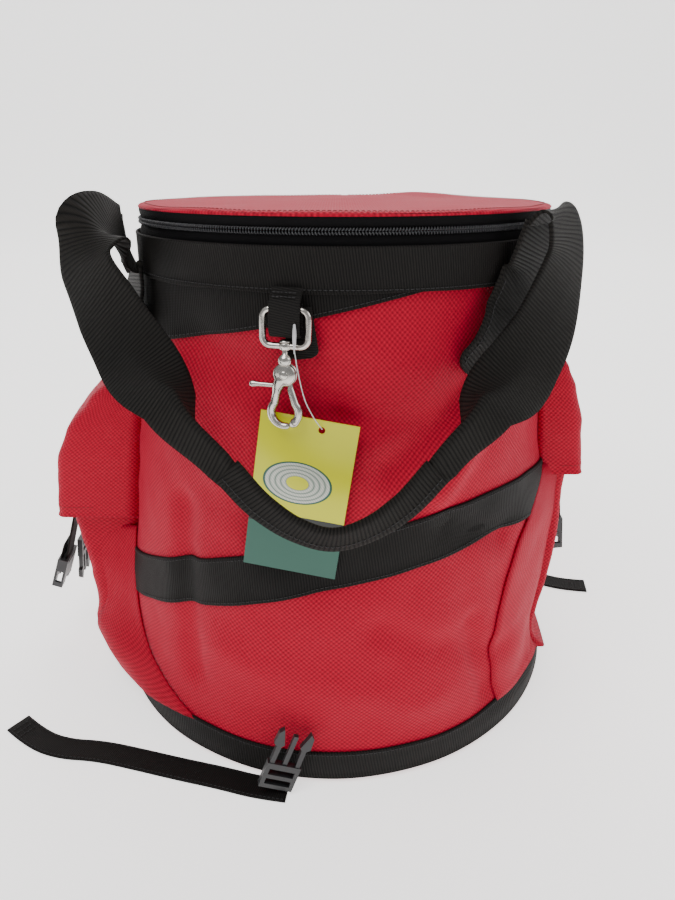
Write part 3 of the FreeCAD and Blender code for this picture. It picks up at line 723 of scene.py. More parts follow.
def lid_height(a, r):
    """Top of the lid over the zipper's plane: a low crown with a soft swell at the back right."""
    crown = 0.35 * LID_CROWN * (1 - (r / RIM_R) ** 2) - 1.4
    place = V(r * sin(a), -r * cos(a), 0) / 60.0
    swell = 3.4 * math.exp(-(((a - 152) / 15) ** 2 + ((r - 132) / 24) ** 2))
    uneven = 1.6 * noise.noise(place + V(0, 0, 4)) * ease((RIM_R + 6 - r) / 20)
    return LID_EDGE + LID_T + crown + swell + uneven


def lid():
    rings = []
    for r in [3, 15, 30, 45, 60, 75, 90, 103, 115, 125, 133, 139, 143.5, 146.2]:
        rings.append([rim(a, r, lid_height(a, r)) for a in AROUND[::2]])
    edge = [(147.9, 2.6), (149.0, 1.6), (149.4, 0.3), (149.0, -0.9), (147.6, -1.5), (146.0, -1.2)]
    for r, h in edge:
        rings.append([rim(a, r, LID_EDGE + h + (lid_height(a, 146) - LID_EDGE - LID_T) * ease((h + 1) / 3))
                      for a in AROUND[::2]])
    for r in (140, 100, 50, 3):
        rings.append([rim(a, r, lid_height(a, r) - LID_T + 0.4) for a in AROUND[::2]])
    make("lid_cloth", [plan_uv(loft(rings))], "lid", RED, ("lid_panel",))
    points = [rim(a, 144.5, lid_height(a, 144.5) + 0.15) for a in AROUND]
    make("lid_stitches", stitches(points, [V(0, 0.1, 1)] * len(points)), "lid", RED_THREAD)


def hinge_tape():
    """The stretch at the back with no zipper, where a strip of webbing joins the lid to the wall."""
    profile = [(COIL_R + 0.35, -TAPE), (COIL_R + 0.35, 0), (COIL_R + 0.5, 7.5), (COIL_R + 1.7, 7.7),
               (COIL_R + 1.9, 0), (COIL_R + 1.7, -TAPE)]
    azimuths = [160 + k for k in range(41)]
    fine = []
    for (r0, h0), (r1, h1) in zip(profile, profile[1:] + profile[:1]):
        fine += [(mix(r0, r1, k / 4), mix(h0, h1, k / 4)) for k in range(4)]
    obj = make("hinge_webbing", [loft(rim_rings(fine, azimuths))], None, BAND,
               ("lid_hinge_tape",))
    start, end = rim(180, COIL_R, -2), rim(180, COIL_R, 5)
    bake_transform(obj)


zipper()
lid()
hinge_tape()
for node in ("zip_slider", "zip_pull"):
    dress(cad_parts[node], BLACK_METAL, bevel=0.35)

# ---------------------------------------------------------------- hand loops, as in the part's source
HANDLE_W, HANDLE_T = 50.0, 2.6
LOOP_RIGHT = [
    ((128, -106.5, 389), (0.62, 0.78, 0.0), HANDLE_W),
    ((135, -109, 398), (0.62, 0.78, 0.0), HANDLE_W),
    ((141, -112, 392), (0.60, 0.79, -0.15), HANDLE_W),
    ((143, -117, 368), (0.66, 0.72, -0.20), HANDLE_W),
    ((132, -134, 335), (0.83, 0.43, -0.35), HANDLE_W),
    ((117, -149, 314), (0.86, 0.18, -0.46), HANDLE_W),
    ((96, -168, 297), (0.80, 0.05, -0.58), HANDLE_W - 2),
    ((79, -185, 284), (0.62, 0.10, -0.74), HANDLE_W - 12),
    ((65, -197, 270), (0.60, 0.0, -0.79), 27),
]
# the left end at the front is sewn further round the bag, so that loop leans forward from its anchor
LOOP_LEFT = [
    ((-141, -66, 373), (-0.20, 0.45, 0.87), HANDLE_W),
    ((-144, -84, 384), (-0.35, 0.55, 0.75), HANDLE_W),
    ((-149, -102, 385), (-0.50, 0.68, 0.50), HANDLE_W),
    ((-152, -117, 367), (-0.75, 0.64, 0.0), HANDLE_W),
    ((-139, -131, 343), (-0.90, 0.36, -0.25), HANDLE_W),
    ((-123, -145, 321), (-0.95, 0.15, -0.28), HANDLE_W),
    ((-103, -165, 301), (-0.92, 0.10, -0.38), HANDLE_W - 1),
    ((-83, -184, 284), (-0.72, 0.15, -0.68), HANDLE_W - 10),
    ((-66, -197, 270), (-0.60, 0.0, -0.79), 27),
]
GRIP_HALF = [
    ((61, -198.5, 267), (0.60, 0.0, -0.80), 25),
    ((42, -205, 250), (0.45, 0.15, -0.88), 25),
    ((22, -209, 237), (0.25, 0.30, -0.90), 25),
    ((0, -211, 231), (0.0, 0.35, -0.94), 25),
]
BACK_DROP = 30.0
GRIP_W = 36.0


def mirror_x(stations):
    return [((-c[0], c[1], c[2]), (-w[0], w[1], w[2]), width) for c, w, width in stations]


def turn_back(stations, drop=BACK_DROP):
    return [((-c[0], -c[1], c[2] - drop), (-w[0], -w[1], w[2]), width) for c, w, width in stations]


def along(stations, per):
    """Smooth centres, width directions and widths through stations."""
    return (smooth([V(*c) for c, _, _ in stations], per), smooth([V(*w) for _, w, _ in stations], per),
            smooth([float(width) for _, _, width in stations], per))


def edge_seam(rings, index, lift=0.1):
    """Stitches along one point of every ring, standing off the ring's middle."""
    points = [ring[index] for ring in rings]
    outs = []
    for ring in rings:
        across = (ring[1] - ring[0]).normalized()
        outs.append((ring[index] - sum(ring, V(0, 0, 0)) / len(ring)).normalized())
        outs[-1] = (outs[-1] - across * outs[-1].dot(across)).normalized()
    return stitches([p + n * lift for p, n in zip(points, outs)], outs)


def folded(width, thick, closed, away=1, steps=24):
    """Outline of webbing folding lengthways: closed runs from 0, flat, to 1, its halves face to face."""
    shares = [2 * i / steps - 1 for i in range(steps + 1)]
    xs = [0.5 * width * math.copysign(abs(k) ** 1.6, k) for k in shares]
    line, turns = [V(0, 0, 0)], []
    for a, b in zip(xs, xs[1:]):
        turn = -176 * closed * (1 - ease(((a + b) / 2 + 3.2) / 6.4))
        turns.append(turn)
        line.append(line[-1] + V(cos(turn), sin(turn), 0) * (b - a))
    px, py = [p.x for p in line], [p.y for p in line]
    middle = V(min(px) + max(px), min(py) + max(py), 0) / 2
    outer, inner = [], []
    for i, p in enumerate(line):
        turn = (turns[max(i - 1, 0)] + turns[min(i, steps - 1)]) / 2
        side = V(-sin(turn), cos(turn), 0) * (thick / 2)
        outer.append(p - middle + side)
        inner.append(p - middle - side)
    return [(q.x, away * q.y) for q in outer + inner[::-1]]


def folding_web(points, wides, shares, widths, away):
    """Wide webbing along a line, folding to half its width where its share reaches 1."""
    return [laid(p, run, wide, folded(width, HANDLE_T - 0.2, share, away))
            for p, run, wide, share, width in zip(points, tangents(points), wides, shares, widths)]


def handle(side):
    back = side == "back"
    body = "handle_" + side
    loops = {"right": LOOP_RIGHT, "left": mirror_x(LOOP_RIGHT) if back else LOOP_LEFT}
    for hand, stations in loops.items():
        stations = turn_back(stations) if back else stations
        points, wides, _ = along(stations, 9)
        last = len(stations) - 1
        shares = [ease((i / 9 - 4.6) / (last - 4.6)) for i in range(len(points))]
        grip_ends = turn_back(GRIP_HALF) if back else GRIP_HALF
        toward = V(*grip_ends[1][0]) if (hand == "right") else V(*mirror_x(grip_ends)[1][0])
        widths = [mix(HANDLE_W - 1, GRIP_W, ease((i / 9 - last + 2.2) / 2.2)) for i in range(len(points))]
        for step in (5, 9):
            points.append(points[-1] + (toward - points[-1]).normalized() * step - V(0, 0, 0.8))
            wides.append(wides[-1])
            shares.append(1.0)
            widths.append(GRIP_W - 0.6 * step)
        rings = folding_web(points, wides, shares, widths, 1 if hand == "right" else -1)
        node = "%s_loop_%s" % (body, hand)
        obj = strip(node + "_webbing", rings, None, HANDLE, node)
        start, end = V(*stations[1][0]), V(*stations[3][0])
        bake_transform(obj)
    grip = GRIP_HALF + mirror_x(list(reversed(GRIP_HALF[:-1])))
    points, wides, _ = along(turn_back(grip) if back else grip, 7)
    points = [p - V(0, 0, 2.5 * ease(min(i, len(points) - 1 - i) / 7)) for i, p in enumerate(points)]
    rings = folding_web(points, wides, [1.0] * len(points), [GRIP_W] * len(points), 1)
    strip(body + "_grip_webbing", rings, body, HANDLE, body + "_grip")
    sew(body + "_grip_stitches", edge_seam(rings, 27), body)


# azimuth and height of each anchor's two ends, then the loop it runs into
ANCHORS = {
    "front_right": (31.5, 46, 300, 360, LOOP_RIGHT),
    "front_left": (-61, -68, 309, 356, LOOP_LEFT),
    "back_right": (148.5, 134, 270, 338, turn_back(mirror_x(LOOP_RIGHT))),
    "back_left": (211.5, 226, 270, 338, turn_back(LOOP_RIGHT)),
}


def anchors():
    """Each end of a loop: webbing sewn flat to the wall, running up over the rim bands into the loop."""
    for name, (a0, a1, z0, z1, loop) in ANCHORS.items():
        first, second = V(*loop[0][0]), V(*loop[1][0])
        wide_end = V(*loop[0][1])
        line, wides, widths = [], [], []
        for k in range(7):
            t = k / 6
            a = mix(a0, a1, t)
            line.append(wall(a, mix(z0, z1, t), mix(4.2, 8.2, ease(2 * t))))
            tangent = V(cos(a), sin(a), 0)
            wides.append(tangent if tangent.dot(wide_end) > 0 else -tangent)
            widths.append(mix(44, 48, t) if k else 40)
        line += [mix(line[-1], first, 0.6) + out_of(a1) * 0.8, mix(first, second, 0.12)]
        wides += [mix(wides[-1], wide_end, 0.6), wide_end]
        widths += [HANDLE_W, HANDLE_W]
        points, wides, widths = smooth(line, 5), smooth(wides, 5), smooth(widths, 5)
        for i, trim in enumerate((26, 12, 5, 1.5)):
            widths[i] -= trim
        rings = web(points, wides, widths, HANDLE_T, steps=10)
        strip("anchor_%s_webbing" % name, rings, "bag", HANDLE, "handle_anchor_" + name)
        sew("anchor_%s_stitches" % name, edge_seam(rings[2:26], 1) + edge_seam(rings[2:26], 9))


handle("front")
handle("back")
anchors()

# ------------------------------------------------------------- side pockets, flaps, as in the part's source
POCKET_Y, FLAP_Y = 54.0, 60.0
POCKETS = {
    "left": (-1, ((22, 5, 68), (50, 17, 64), (95, 27, 60), (140, 43, POCKET_Y), (192, 47, POCKET_Y - 1))),
    "right": (1, ((22, 5, 68), (50, 7, 64), (100, 8, 60), (170, 11, POCKET_Y), (225, 18, POCKET_Y - 1))),
}
FLAPS = {"left": (-1, 277, 226, 205, 150, 54.0), "right": (1, 292, 262, 235, 190, 23.0)}
SKIN_T = 2.2


def box_outline(side, z, depth, half, corner, seed):
    """Plan outline of a box pocket: from the wall out, across and back, then the same again inside."""
    x_wall = wall_x(z) + side * wall_r(90 * side, z)
    corner = min(corner, depth * 0.45)
    paths = []
    for inset in (0.0, SKIN_T):
        h, d = half - inset, depth - inset
        drop = h * h / (2 * wall_r(90 * side, z)) + 1.5
        c = max(corner - inset, 0.4)
        path = [(-h, mix(-drop, d - c, k / 5)) for k in range(6)]
        path += [(-h + c - c * cos(90 * k / 5), d - c + c * sin(90 * k / 5)) for k in range(1, 6)]
        path += [(mix(-h + c, h - c, k / 14), d) for k in range(1, 14)]
        path += [(h - c + c * sin(90 * k / 5), d - c + c * cos(90 * k / 5)) for k in range(0, 6)]
        path += [(h, mix(d - c, -drop, k / 5)) for k in range(1, 6)]
        ring = []
        for y, x in path:
            place = V(x, y, z) / 38.0 + V(seed, 0, 0)
            soft = ease((x + 8) / 16) * min(1.0, depth / 20)
            bow = 2.2 * (1 - (y / half) ** 2) * ease((x - d + 6) / 6)
            x += soft * (2.0 * noise.noise(place) + 0.7 * noise.noise(place * 3)) + bow
            y += soft * 1.6 * noise.noise(place + V(0, 5, 0))
            ring.append(V(x_wall + side * x, y, z))
        paths.append(ring)
    return paths[0] + list(reversed(paths[1]))


def level_at(levels, z):
    """Depth and half width at a height, smooth between levels."""
    i = max(0, min(len(levels) - 2, sum(z > level[0] for level in levels) - 1))
    (z0, depth0, half0), (z1, depth1, half1) = levels[i:i + 2]
    share = (z - z0) / (z1 - z0)
    t = 0.4 * ease(share) + 0.6 * share
    return mix(depth0, depth1, t), mix(half0, half1, t)


# front edge of each pocket's cloth where it spreads along the wall: (height, azimuth), from the base up
SPREAD = {"left": ((25, -35), (44, -49), (62, -60), (98, -66), (140, -71)),
          "right": ((25, 44), (60, 42), (90, 42), (128, 46), (165, 53), (200, 68))}
SWELL = {"left": 9.0, "right": 3.0}      # how far each pocket's foot bellies out


def pocket_at(name, z):
    """Depth and half width of a pocket at a height, with its foot's swell."""
    levels = POCKETS[name][1]
    depth, half = level_at(levels, max(z, levels[0][0]))
    return depth + SWELL[name] * 0.9 * math.exp(-((z - 42) / 20) ** 2), half


def spread(name, side):
    """The pocket's cloth from its front corner to its front edge on the wall."""
    edge = SPREAD[name]
    heights = smooth([float(z) for z, _ in edge], 6)
    azimuths = smooth([float(a) for _, a in edge], 6)
    rings = []
    for z, a0 in zip(heights, azimuths):
        depth, half = pocket_at(name, z)
        reach = wall_r(90 * side, z) + depth - min(4.0, depth * 0.3)
        a1 = side * (90 - math.degrees(math.asin((half - 3) / reach)))
        lift = math.hypot(reach, half - 3) - wall_r(a1, z) - 3
        outer, inner = [], []
        for k in range(13):
            t = k / 12
            a = mix(a0, a1, t)
            swell = SWELL[name] * math.exp(-((z - 38) / 26) ** 2) * math.sin(math.pi * min(1.0, t * 0.62))
            ripple = 2.2 * math.sin(math.pi * t) * noise.noise(V(a / 12, z / 30, 5))
            out = 2.4 + max(lift - 2.4, 0.0) * t ** 1.5 + swell + ripple
            outer.append(wall(a, z, out if k else 1.9))
            inner.append(wall(a, z, out - 1.6 if k else 0.6))
        rings.append(outer + inner[::-1])
    return loft(rings)


def pockets():
    for name, (side, levels) in POCKETS.items():
        z0, z1 = levels[0][0], levels[-1][0]
        rings = []
        for k in range(49):
            z = mix(z0, z1, k / 48)
            rings.append(box_outline(side, z, *pocket_at(name, z), 9.0, 2.0 * side))
        make("pocket_%s_cloth" % name, [loft(rings), spread(name, side)], "bag", RED,
             ("pocket_" + name,))


def flaps():
    for name, (side, z_hinge, z_crease, z_face, z_edge, depth) in FLAPS.items():
        levels = ((z_edge, depth + 1, FLAP_Y), (z_face, depth, FLAP_Y), (z_crease, depth - 6, FLAP_Y - 0.5),
                  (mix(z_crease, z_hinge, 0.5), mix(depth - 6, 3, 0.42), FLAP_Y - 1),
                  (z_hinge, 2.5, FLAP_Y - 2))
        rings = []
        for k in range(57):
            z = mix(z_edge, z_hinge, k / 56)
            d, half = level_at(levels, z)
            if k == 0:
                d, half = d + 0.6, half + 0.6
            rings.append(box_outline(side, z, d, half, 7.0, 9.0 * side))
        make("flap_%s_cloth" % name, [loft(rings)], "flap_" + name, RED, ("flap_" + name,))
        points = rings[4][3:31]
        outs = [(p - V(p.x * 0.6, 0, p.z)).normalized() for p in points]
        make("flap_%s_stitches" % name, stitches(points, outs), "flap_" + name, RED_THREAD)


pockets()
flaps()

# ---------------------------------------------------------------- narrow webbing and buckles at the pockets
STRAP_W, STRAP_T = 20.0, 1.8
FEMALE_Y, MALE_Y = -13.0, 15.0
FEMALE = {"left": ((-252, FEMALE_Y, 56), (-229, FEMALE_Y, 120)),
          "right": ((197, FEMALE_Y, 98), (190.5, FEMALE_Y, 152))}
FLAP_FACE = {"left": (-216.52, 150), "right": (191.41, 190)}   # x of the flap's face, height of its edge
ARCH = {"left": ((-213, 24), (-217, 46), (-222, 70), (-228, 88), (-232.5, 89.5)),
        "right": ((181, 62), (183, 90), (185.4, 116), (186.4, 134.5), (188.5, 137.5))}


def narrow(name, points, body, replaces, per=5, wide=None):
    """A length of the narrow webbing with a row of stitches along each edge."""
    points = smooth(points, per)
    wide = wide or V(0, 1, 0)
    rings = web(points, [wide] * len(points), [STRAP_W] * len(points), STRAP_T)
    strip(name, rings, body, NARROW, *replaces)
    sew(name + "_stitches", edge_seam(rings, 1) + edge_seam(rings, 7), body)


def pocket_straps():
    for name in ("left", "right"):
        side = POCKETS[name][0]
        x_face, edge = FLAP_FACE[name]
        x_web = x_face + side * 3.2
        narrow("flap_webbing_%s_strip" % name, [V(x_web, FEMALE_Y, edge + 26), V(x_web, FEMALE_Y, edge + 12),
                                                V(x_web + side * 0.2, FEMALE_Y, edge - 2)],
               "flap_" + name, ("flap_webbing_" + name,))
        end, top = V(*FEMALE[name][0]), V(*FEMALE[name][1])
        run = (top - end).normalized()
        out = V(side * run.z, 0, -side * run.x)
        bar = end + run * 27.2
        start = V(x_web + side * 0.2, FEMALE_Y, edge - 2.6)
        loop = [start, mix(start, bar, 0.45) - out * 0.6, bar + run * 5 - out * 1.6,
                bar + run * 0.6 - out * 1.2, bar - run * 0.4 + out * 1.4, bar + run * 5 + out * 2.6,
                bar + run * 17 + out * 2.4]
        narrow("buckle_webbing_%s_strip" % name, loop, "female_" + name, ("buckle_webbing_" + name,), per=6)
        arch = [V(x, MALE_Y, z) for x, z in ARCH[name]]
        narrow("pocket_strap_%s_strip" % name, arch, "bag", ("pocket_strap_" + name,), per=6)
        for node in ("pocket_buckle_female_" + name, "pocket_buckle_male_" + name):
            dress(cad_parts[node], PLASTIC, bevel=0.5)


pocket_straps()

# ---------------------------------------------------------------- floor straps, laid along smooth lines on the floor
LAY = STRAP_T / 2 + 0.05      # height of a strap's middle over the floor
UP = V(0, 0, 1)
ROUTES = {
    "front": [(-24, -201), (-52, -197.5), (-84, -188), (-117, -180), (-150, -171), (-182, -163), (-211, -161),
              (-236, -151), (-256, -135)],
    "rear": [(150, 136), (172, 112), (194, 78), (214, 60), (236, 50.5), (258, 48)],
}


def on_floor(route):
    """Points of the smooth line that has the route as its control points, in mm."""
    curve = bpy.data.curves.new("route", "CURVE")
    curve.dimensions = "3D"
    spline = curve.splines.new("NURBS")
    spline.points.add(len(route) - 1)
    for point, (x, y) in zip(spline.points, route):
        point.co = (x * MM, y * MM, LAY * MM, 1)
    spline.order_u = 3
    spline.use_endpoint_u = True
    spline.resolution_u = 10
    obj = bpy.data.objects.new("route", curve)
    mesh = bpy.data.meshes.new_from_object(obj)
    points = [v.co / MM for v in mesh.vertices]
    bpy.data.objects.remove(obj)
    return points


def floor_straps():
    for name, route in ROUTES.items():
        points = on_floor(route)
        if (points[0] - V(*route[0], LAY)).length > 1:
            points.reverse()
        while name == "front" and (points[0] - V(*route[0], LAY)).length < 9:
            points.pop(0)
        rings = web(points, [run.cross(UP) for run in tangents(points)], [STRAP_W] * len(points), STRAP_T)
        node = "base_strap_" + name
        obj = strip(node + "_webbing", rings, "bag", NARROW, node)
        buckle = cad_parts["base_buckle_" + name]
        dress(buckle, PLASTIC, bevel=0.5)
        line = [p + UP * (STRAP_T / 2) for p in points]
        across = [run.cross(UP).normalized() for run in tangents(points)]
        rows = []
        for shift in (-8.2, 8.2):
            rows += stitches([p + w * shift for p, w in zip(line, across)], [UP] * len(line))
        sew(node + "_stitches", rows)
        run, hem = tangents(points)[-1], []
        for row in range(3):
            start = points[-1] - run * (5 + 5 * row) + UP * (STRAP_T / 2)
            wide = run.cross(UP).normalized()
            hem += stitches([start - wide * 8, start + wide * 8], [UP] * 2, 2.6, 1.9)
        sew(node + "_hem", hem)


floor_straps()

# ---------------------------------------------------------------- swivel snap, tab and tag
SNAP_AT, SNAP_LEAN = -12.5, 7.5
SNAP_O = V(-27.142, -155.932, 350)
SNAP_X = V(-cos(SNAP_AT), -sin(SNAP_AT), 0)
SNAP_UP = V(-sin(SNAP_AT) * sin(SNAP_LEAN), cos(SNAP_AT) * sin(SNAP_LEAN), cos(SNAP_LEAN))
SNAP_Y = SNAP_UP.cross(SNAP_X)
WIRE, RING_W, RING_H = 2.1, 27.8, 21.5
PIVOT_Z, JAW_Z, JAW_R = -38.5, -62.0, 8.6


def S(x, y, z):
    """A point in the snap's own frame: x along the wall, y away from it, z up."""
    return SNAP_O + SNAP_X * x + SNAP_Y * y + SNAP_UP * z


def turned(centre, axis, profile, sides=28):
    """A turned part: (radius, height) pairs round an axis."""
    side = axis.orthogonal().normalized()
    other = axis.cross(side)
    rings = [[centre + axis * h + (side * cos(360 * k / sides) + other * sin(360 * k / sides)) * r
              for k in range(sides)] for r, h in profile]
    return loft(rings)


def dome(radius, height, foot=0.0, steps=4):
    """Profile of a rivet head standing on a surface."""
    turns = [90 * k / steps for k in range(steps + 1)]
    return [(radius, foot)] + [(radius * cos(d) + 0.02, foot + height * sin(d) + 0.3) for d in turns]


def arc(cx, cz, r, a0, a1, steps):
    """Points on an arc in the snap's own plane."""
    turns = [mix(a0, a1, k / steps) for k in range(steps + 1)]
    return [S(cx + r * cos(a), 0, cz + r * sin(a)) for a in turns]


def snap_ring():
    """Rectangular ring of bent wire, with the swivel's collar on its lower bar."""
    half, bend = RING_W / 2, 5.0
    loop = []
    for x, z, a in ((half - bend, -bend, 90), (half - bend, -RING_H + bend, 0),
                    (-half + bend, -RING_H + bend, -90), (-half + bend, -bend, -180)):
        loop += [S(x + bend * cos(a - 15 * k), 0, z + bend * sin(a - 15 * k)) for k in range(7)]
    collar = [(1.8, 0), (3.1, 0.1), (3.7, 0.9), (3.7, 3.8), (3.1, 4.6), (1.8, 4.7)]
    ring = [tube(loop, WIRE, 14, closed=True), turned(S(0, 0, -RING_H - 2.3), SNAP_UP, collar)]
    make("snap_ring", ring, "ring", METAL, ("swivel_ring",))


def snap_hook():
    """Swivel post, the two cheeks at the pivot, the fixed jaw, and the rivet through the cheeks."""
    post = [turned(S(0, 0, -RING_H + 2.5), SNAP_UP, dome(3.7, 1.6)),
            turned(S(0, 0, PIVOT_Z + 5.0), SNAP_UP, [(1.5, 0), (3.4, 0.5), (4.3, 2.0), (4.4, 4.4), (3.7, 6.2),
                                                     (2.0, 7.2), (1.6, 9.5), (1.55, 14.5)])]
    for sign in (-1, 1):
        disc = [(0.05, 3.5), (2.2, 3.55), (5.6, 3.2), (6.9, 2.2), (7.2, 1.3), (5.0, 1.3), (0.05, 1.3)]
        post.append(turned(S(0, 0, PIVOT_Z), SNAP_Y * sign, disc))
    neck = [S(2.0, 0, PIVOT_Z - 3), S(4.4, 0, PIVOT_Z - 8), S(5.4, 0, PIVOT_Z - 12)]
    jaw = smooth(neck, 4) + arc(0, JAW_Z, JAW_R, 52, -97, 16)[1:]
    count = len(jaw)
    radii = [mix(4.4, 2.7, ease(i / 9)) - 0.5 * ease((i - 14) / (count - 14)) for i in range(count)]
    post.append(bead(jaw, radii, 14, squash=0.92))
    make("snap_hook", post, "snap", METAL, ("snap_body",))
    rivet = [turned(S(0, sign * 3.3, PIVOT_Z), SNAP_Y * sign, dome(2.7, 1.0)) for sign in (-1, 1)]
    make("snap_rivet", rivet, "snap", METAL, ("snap_pivot",))


def snap_gate():
    """The sprung jaw with its thumb lever."""
    tongue = smooth([S(-0.5, 0, PIVOT_Z + 0.5), S(-3.2, 0, PIVOT_Z - 4), S(-3.6, 0, PIVOT_Z - 9)], 4)
    gate = tongue + arc(0, JAW_Z, JAW_R, 138, 232, 12)
    count = len(gate)
    parts = [bead(gate, [mix(1.25, 2.6, ease((i - 4) / 6)) for i in range(count - 3)] + [2.7, 3.0, 2.6], 14)]
    lever = [S(x, 0, PIVOT_Z - 7.1) for x in (1.5, 6, 11, 16, 18.5, 20.3)]
    parts.append(bead(lever, [1.2, 1.4, 1.45, 1.5, 1.9, 2.2], 12))
    make("snap_gate_lever", parts, "gate", METAL, ("snap_gate",))


def hook_tab():
    path = [S(0, y, z) for y, z in ((-3.9, 12), (-2.4, 9.5), (0.6, 7.0), (3.0, 2.5), (3.4, -4), (3.2, -12),
                                    (0.2, -15.4), (-3.0, -12), (-3.2, 3))]
    points = smooth(path, 5)
    rings = web(points, [SNAP_X] * len(points), [19.0] * len(points), STRAP_T)
    strip("hook_tab_webbing", rings, "bag", NARROW, "hook_tab")
    rows = []
    for z in (10.0, 7.6):
        y = 1.2 + (10 - z) * 0.6
        rows += stitches([S(-7.6, y, z), S(7.6, y, z)], [SNAP_Y] * 2, 2.4, 1.8)
    sew("hook_tab_stitches", rows)
    tilt = 10
    tail = [S(-5 - 15 * sin(tilt) * k / 6 * 2, -5.6 + 0.5 * math.sin(k * 0.9), -30 * cos(tilt) * k / 6)
            for k in range(7)]
    points = smooth(tail, 4)
    widths = [19.0] * (len(points) - 3) + [17.5, 14.5, 9.5]
    rings = web(points, [SNAP_X] * len(points), widths, STRAP_T)
    strip("hook_tab_tail_webbing", rings, "bag", NARROW, "hook_tab_tail")


TAG_W, TAG_H = 62.0, 108.0
TAG_C = V(-21.4, -165.6, 230)
TAG_X, TAG_UP = V(0.987, -0.127, -0.095).normalized(), V(0.146, 0.091, 0.985).normalized()
TAG_HOLE = V(-6.568, -162.293, 276.032)


def tag():
    corner = TAG_C - TAG_X * (TAG_W / 2) - TAG_UP * (TAG_H / 2)
    printed = card_print("card_print", corner, TAG_X, TAG_UP, TAG_W, TAG_H)
    dress(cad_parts["hang_tag"], printed, bevel=0.12)
    loop = smooth([S(-7, 5.6, -22), S(-9.5, 5.4, -36), S(-13.5, 4.4, -52), S(-18.6, 1.0, -64),
                   TAG_HOLE + V(-0.3, -2.0, 2.0), TAG_HOLE + V(0, 1.2, 0)], 6)
    paddle = [S(-7.0, 5.6, z) for z in (-8.4, -11, -14, -18, -21, -24)]
    parts = [bead(loop, 0.34, 7), bead(paddle, [1.4, 2.0, 2.2, 1.9, 1.2, 0.6], 12, squash=0.55)]
    make("tag_thread", parts, "ring", CLEAR, ("tag_fastener",))


snap_ring()
snap_hook()
snap_gate()
hook_tab()
tag()

# ---------------------------------------------------------------- padded shoulder straps at the back
PAD_W, PAD_T = 52.0, 9.0


def pad_section(width, thick, sides=28):
    """A crowned pad whose long edges are pinched into a seam."""
    ring = []
    for k in range(sides):
        x, y = cos(360 * k / sides), sin(360 * k / sides)
        full = abs(x) ** 0.75 * (1 if x > 0 else -1)
        ring.append((full * width / 2, y * thick / 2 * (1 - 0.25 * x ** 8)))
    return ring


def shoulder_straps():
    for name, s in (("left", -1), ("right", 1)):
        body = "shoulder_" + name
        line = [(180 - s * (17 + 6 * k / 10), 300 - 190 * k / 10) for k in range(11)]
        points = [wall(a, z, 13 if i > 1 else 9 + 2 * i) for i, (a, z) in enumerate(line)]
        wides = [V(cos(a), sin(a), 0) for a, z in line]
        points, wides = smooth(points, 5), smooth(wides, 5)
        rings = []
        for i, (p, run, wide) in enumerate(zip(points, tangents(points), wides)):
            t = i / (len(points) - 1)
            end = ease(t / 0.04) * ease((1 - t) / 0.05)
            channel = 0.35 * math.exp(-((t * 190) % 38 - 19) ** 2 / 9)
            section = pad_section(PAD_W * mix(0.86, 1.0, end), PAD_T * mix(0.35, 1.0, end))
            rings.append(laid(p, run, wide, [(x, y * (1 - channel * (abs(x) < 22))) for x, y in section]))
        obj = make("shoulder_pad_%s_cover" % name, [loft(rings)], body, PAD,
                   ("shoulder_pad_" + name,))
        for sign, key in ((-1, "inner"), (1, "outer")):
            edge = [p + square_to(run, wide) * (sign * (PAD_W / 2 - 0.4))
                    for p, run, wide in zip(points, tangents(points), wides)][2:-2]
            make("shoulder_binding_%s_%s" % (name, key), [bead(edge, 2.0, 10)], body, NARROW)
        a_low = 180 - s * 24
        web_line = [wall(a_low, z, 13) for z in (112, 104, 96, 88, 80, 72)]
        narrow("shoulder_webbing_%s_strip" % name, web_line, body, ("shoulder_webbing_" + name,), per=3,
               wide=V(cos(a_low), sin(a_low), 0))
        dress(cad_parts["shoulder_buckle_" + name], PLASTIC, bevel=0.5)


def yoke_top(a):
    return min(312.0, RIM_SLOPE(a) - 0.5)


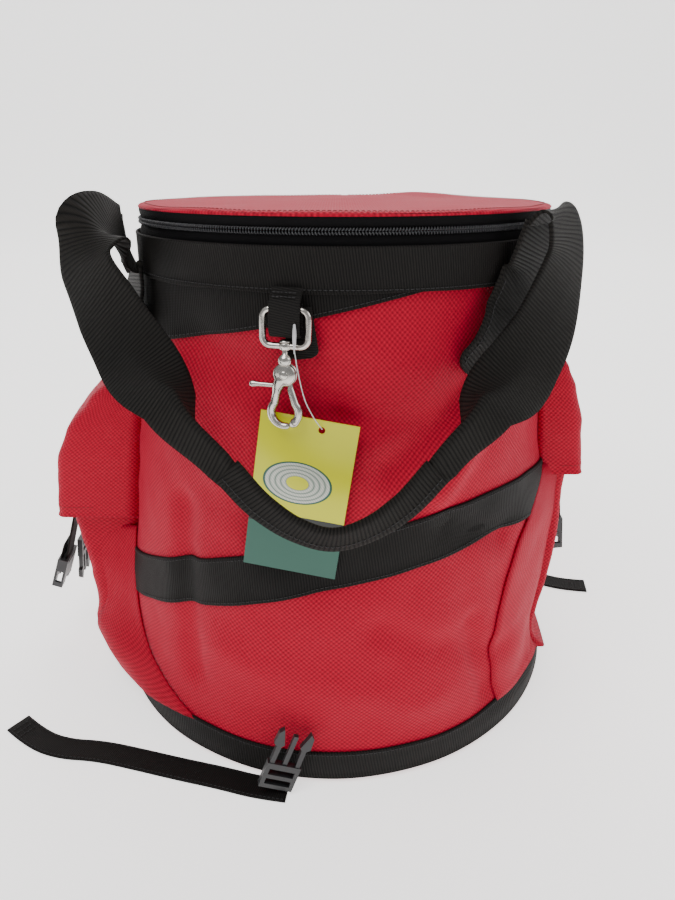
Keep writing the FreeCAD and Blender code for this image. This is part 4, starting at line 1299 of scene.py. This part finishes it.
def yoke():
    azimuths = [180 - 38 + k for k in range(77)]
    rings = band_rings(raised(yoke_top, -28), yoke_top, 0.2, azimuths)
    strip("shoulder_yoke_webbing", rings, "bag", HANDLE, "shoulder_yoke")
    for shift in (3, 25):
        seam("shoulder_yoke_stitches_%d" % shift, raised(yoke_top, -shift), BAND_T + 0.05, azimuths)


shoulder_straps()
yoke()


# ---------------------------------------------------------------- floor, backdrop and light
def stage():
    profile = [(-3.0, 0.0), (1.6, 0.0)]
    profile += [(1.6 + 1.2 * math.sin(math.radians(k * 9)), 1.2 - 1.2 * math.cos(math.radians(k * 9)))
                for k in range(1, 11)]
    profile.append((2.8, 4.0))
    mesh = bpy.data.meshes.new("floor")
    verts = [(x, y, z) for y, z in profile for x in (-4.0, 4.0)]
    mesh.from_pydata(verts, [], [(2 * i, 2 * i + 1, 2 * i + 3, 2 * i + 2) for i in range(len(profile) - 1)])
    mesh.shade_smooth()
    floor = bpy.data.objects.new("floor", mesh)
    bpy.context.scene.collection.objects.link(floor)
    paper = Shader("paper_floor", 0.85, Specular_IOR_Level=0.2)
    paper.colour(paper.blend(paper.noise(2.0, 3.0), (0.84, 0.83, 0.82), (0.88, 0.87, 0.86)))
    paper.bsdf.inputs["Emission Color"].default_value = (1.0, 0.985, 0.97, 1.0)
    paper.bsdf.inputs["Emission Strength"].default_value = 1.3
    dress(floor, paper.material)


def light(name, place, aim, size, power, colour=(1, 1, 1)):
    data = bpy.data.lights.new(name, "AREA")
    data.shape = "DISK"
    data.size = size
    data.energy = power
    data.color = colour
    obj = bpy.data.objects.new(name, data)
    obj.location = place
    obj.rotation_euler = (V(*aim) - V(*place)).to_track_quat("-Z", "Y").to_euler()
    bpy.context.scene.collection.objects.link(obj)


stage()
light("key", (-0.6, -0.7, 1.9), (0, 0, 0.2), 1.3, 21)
light("fill", (1.5, -0.5, 1.3), (0, 0, 0.2), 1.2, 8)
light("back", (0.2, 1.3, 1.9), (0, 0, 0.3), 1.6, 15)
world = bpy.data.worlds.new("room")
world.use_nodes = True
world.node_tree.nodes["Background"].inputs[0].default_value = (0.86, 0.87, 0.90, 1)
world.node_tree.nodes["Background"].inputs[1].default_value = 0.50
bpy.context.scene.world = world
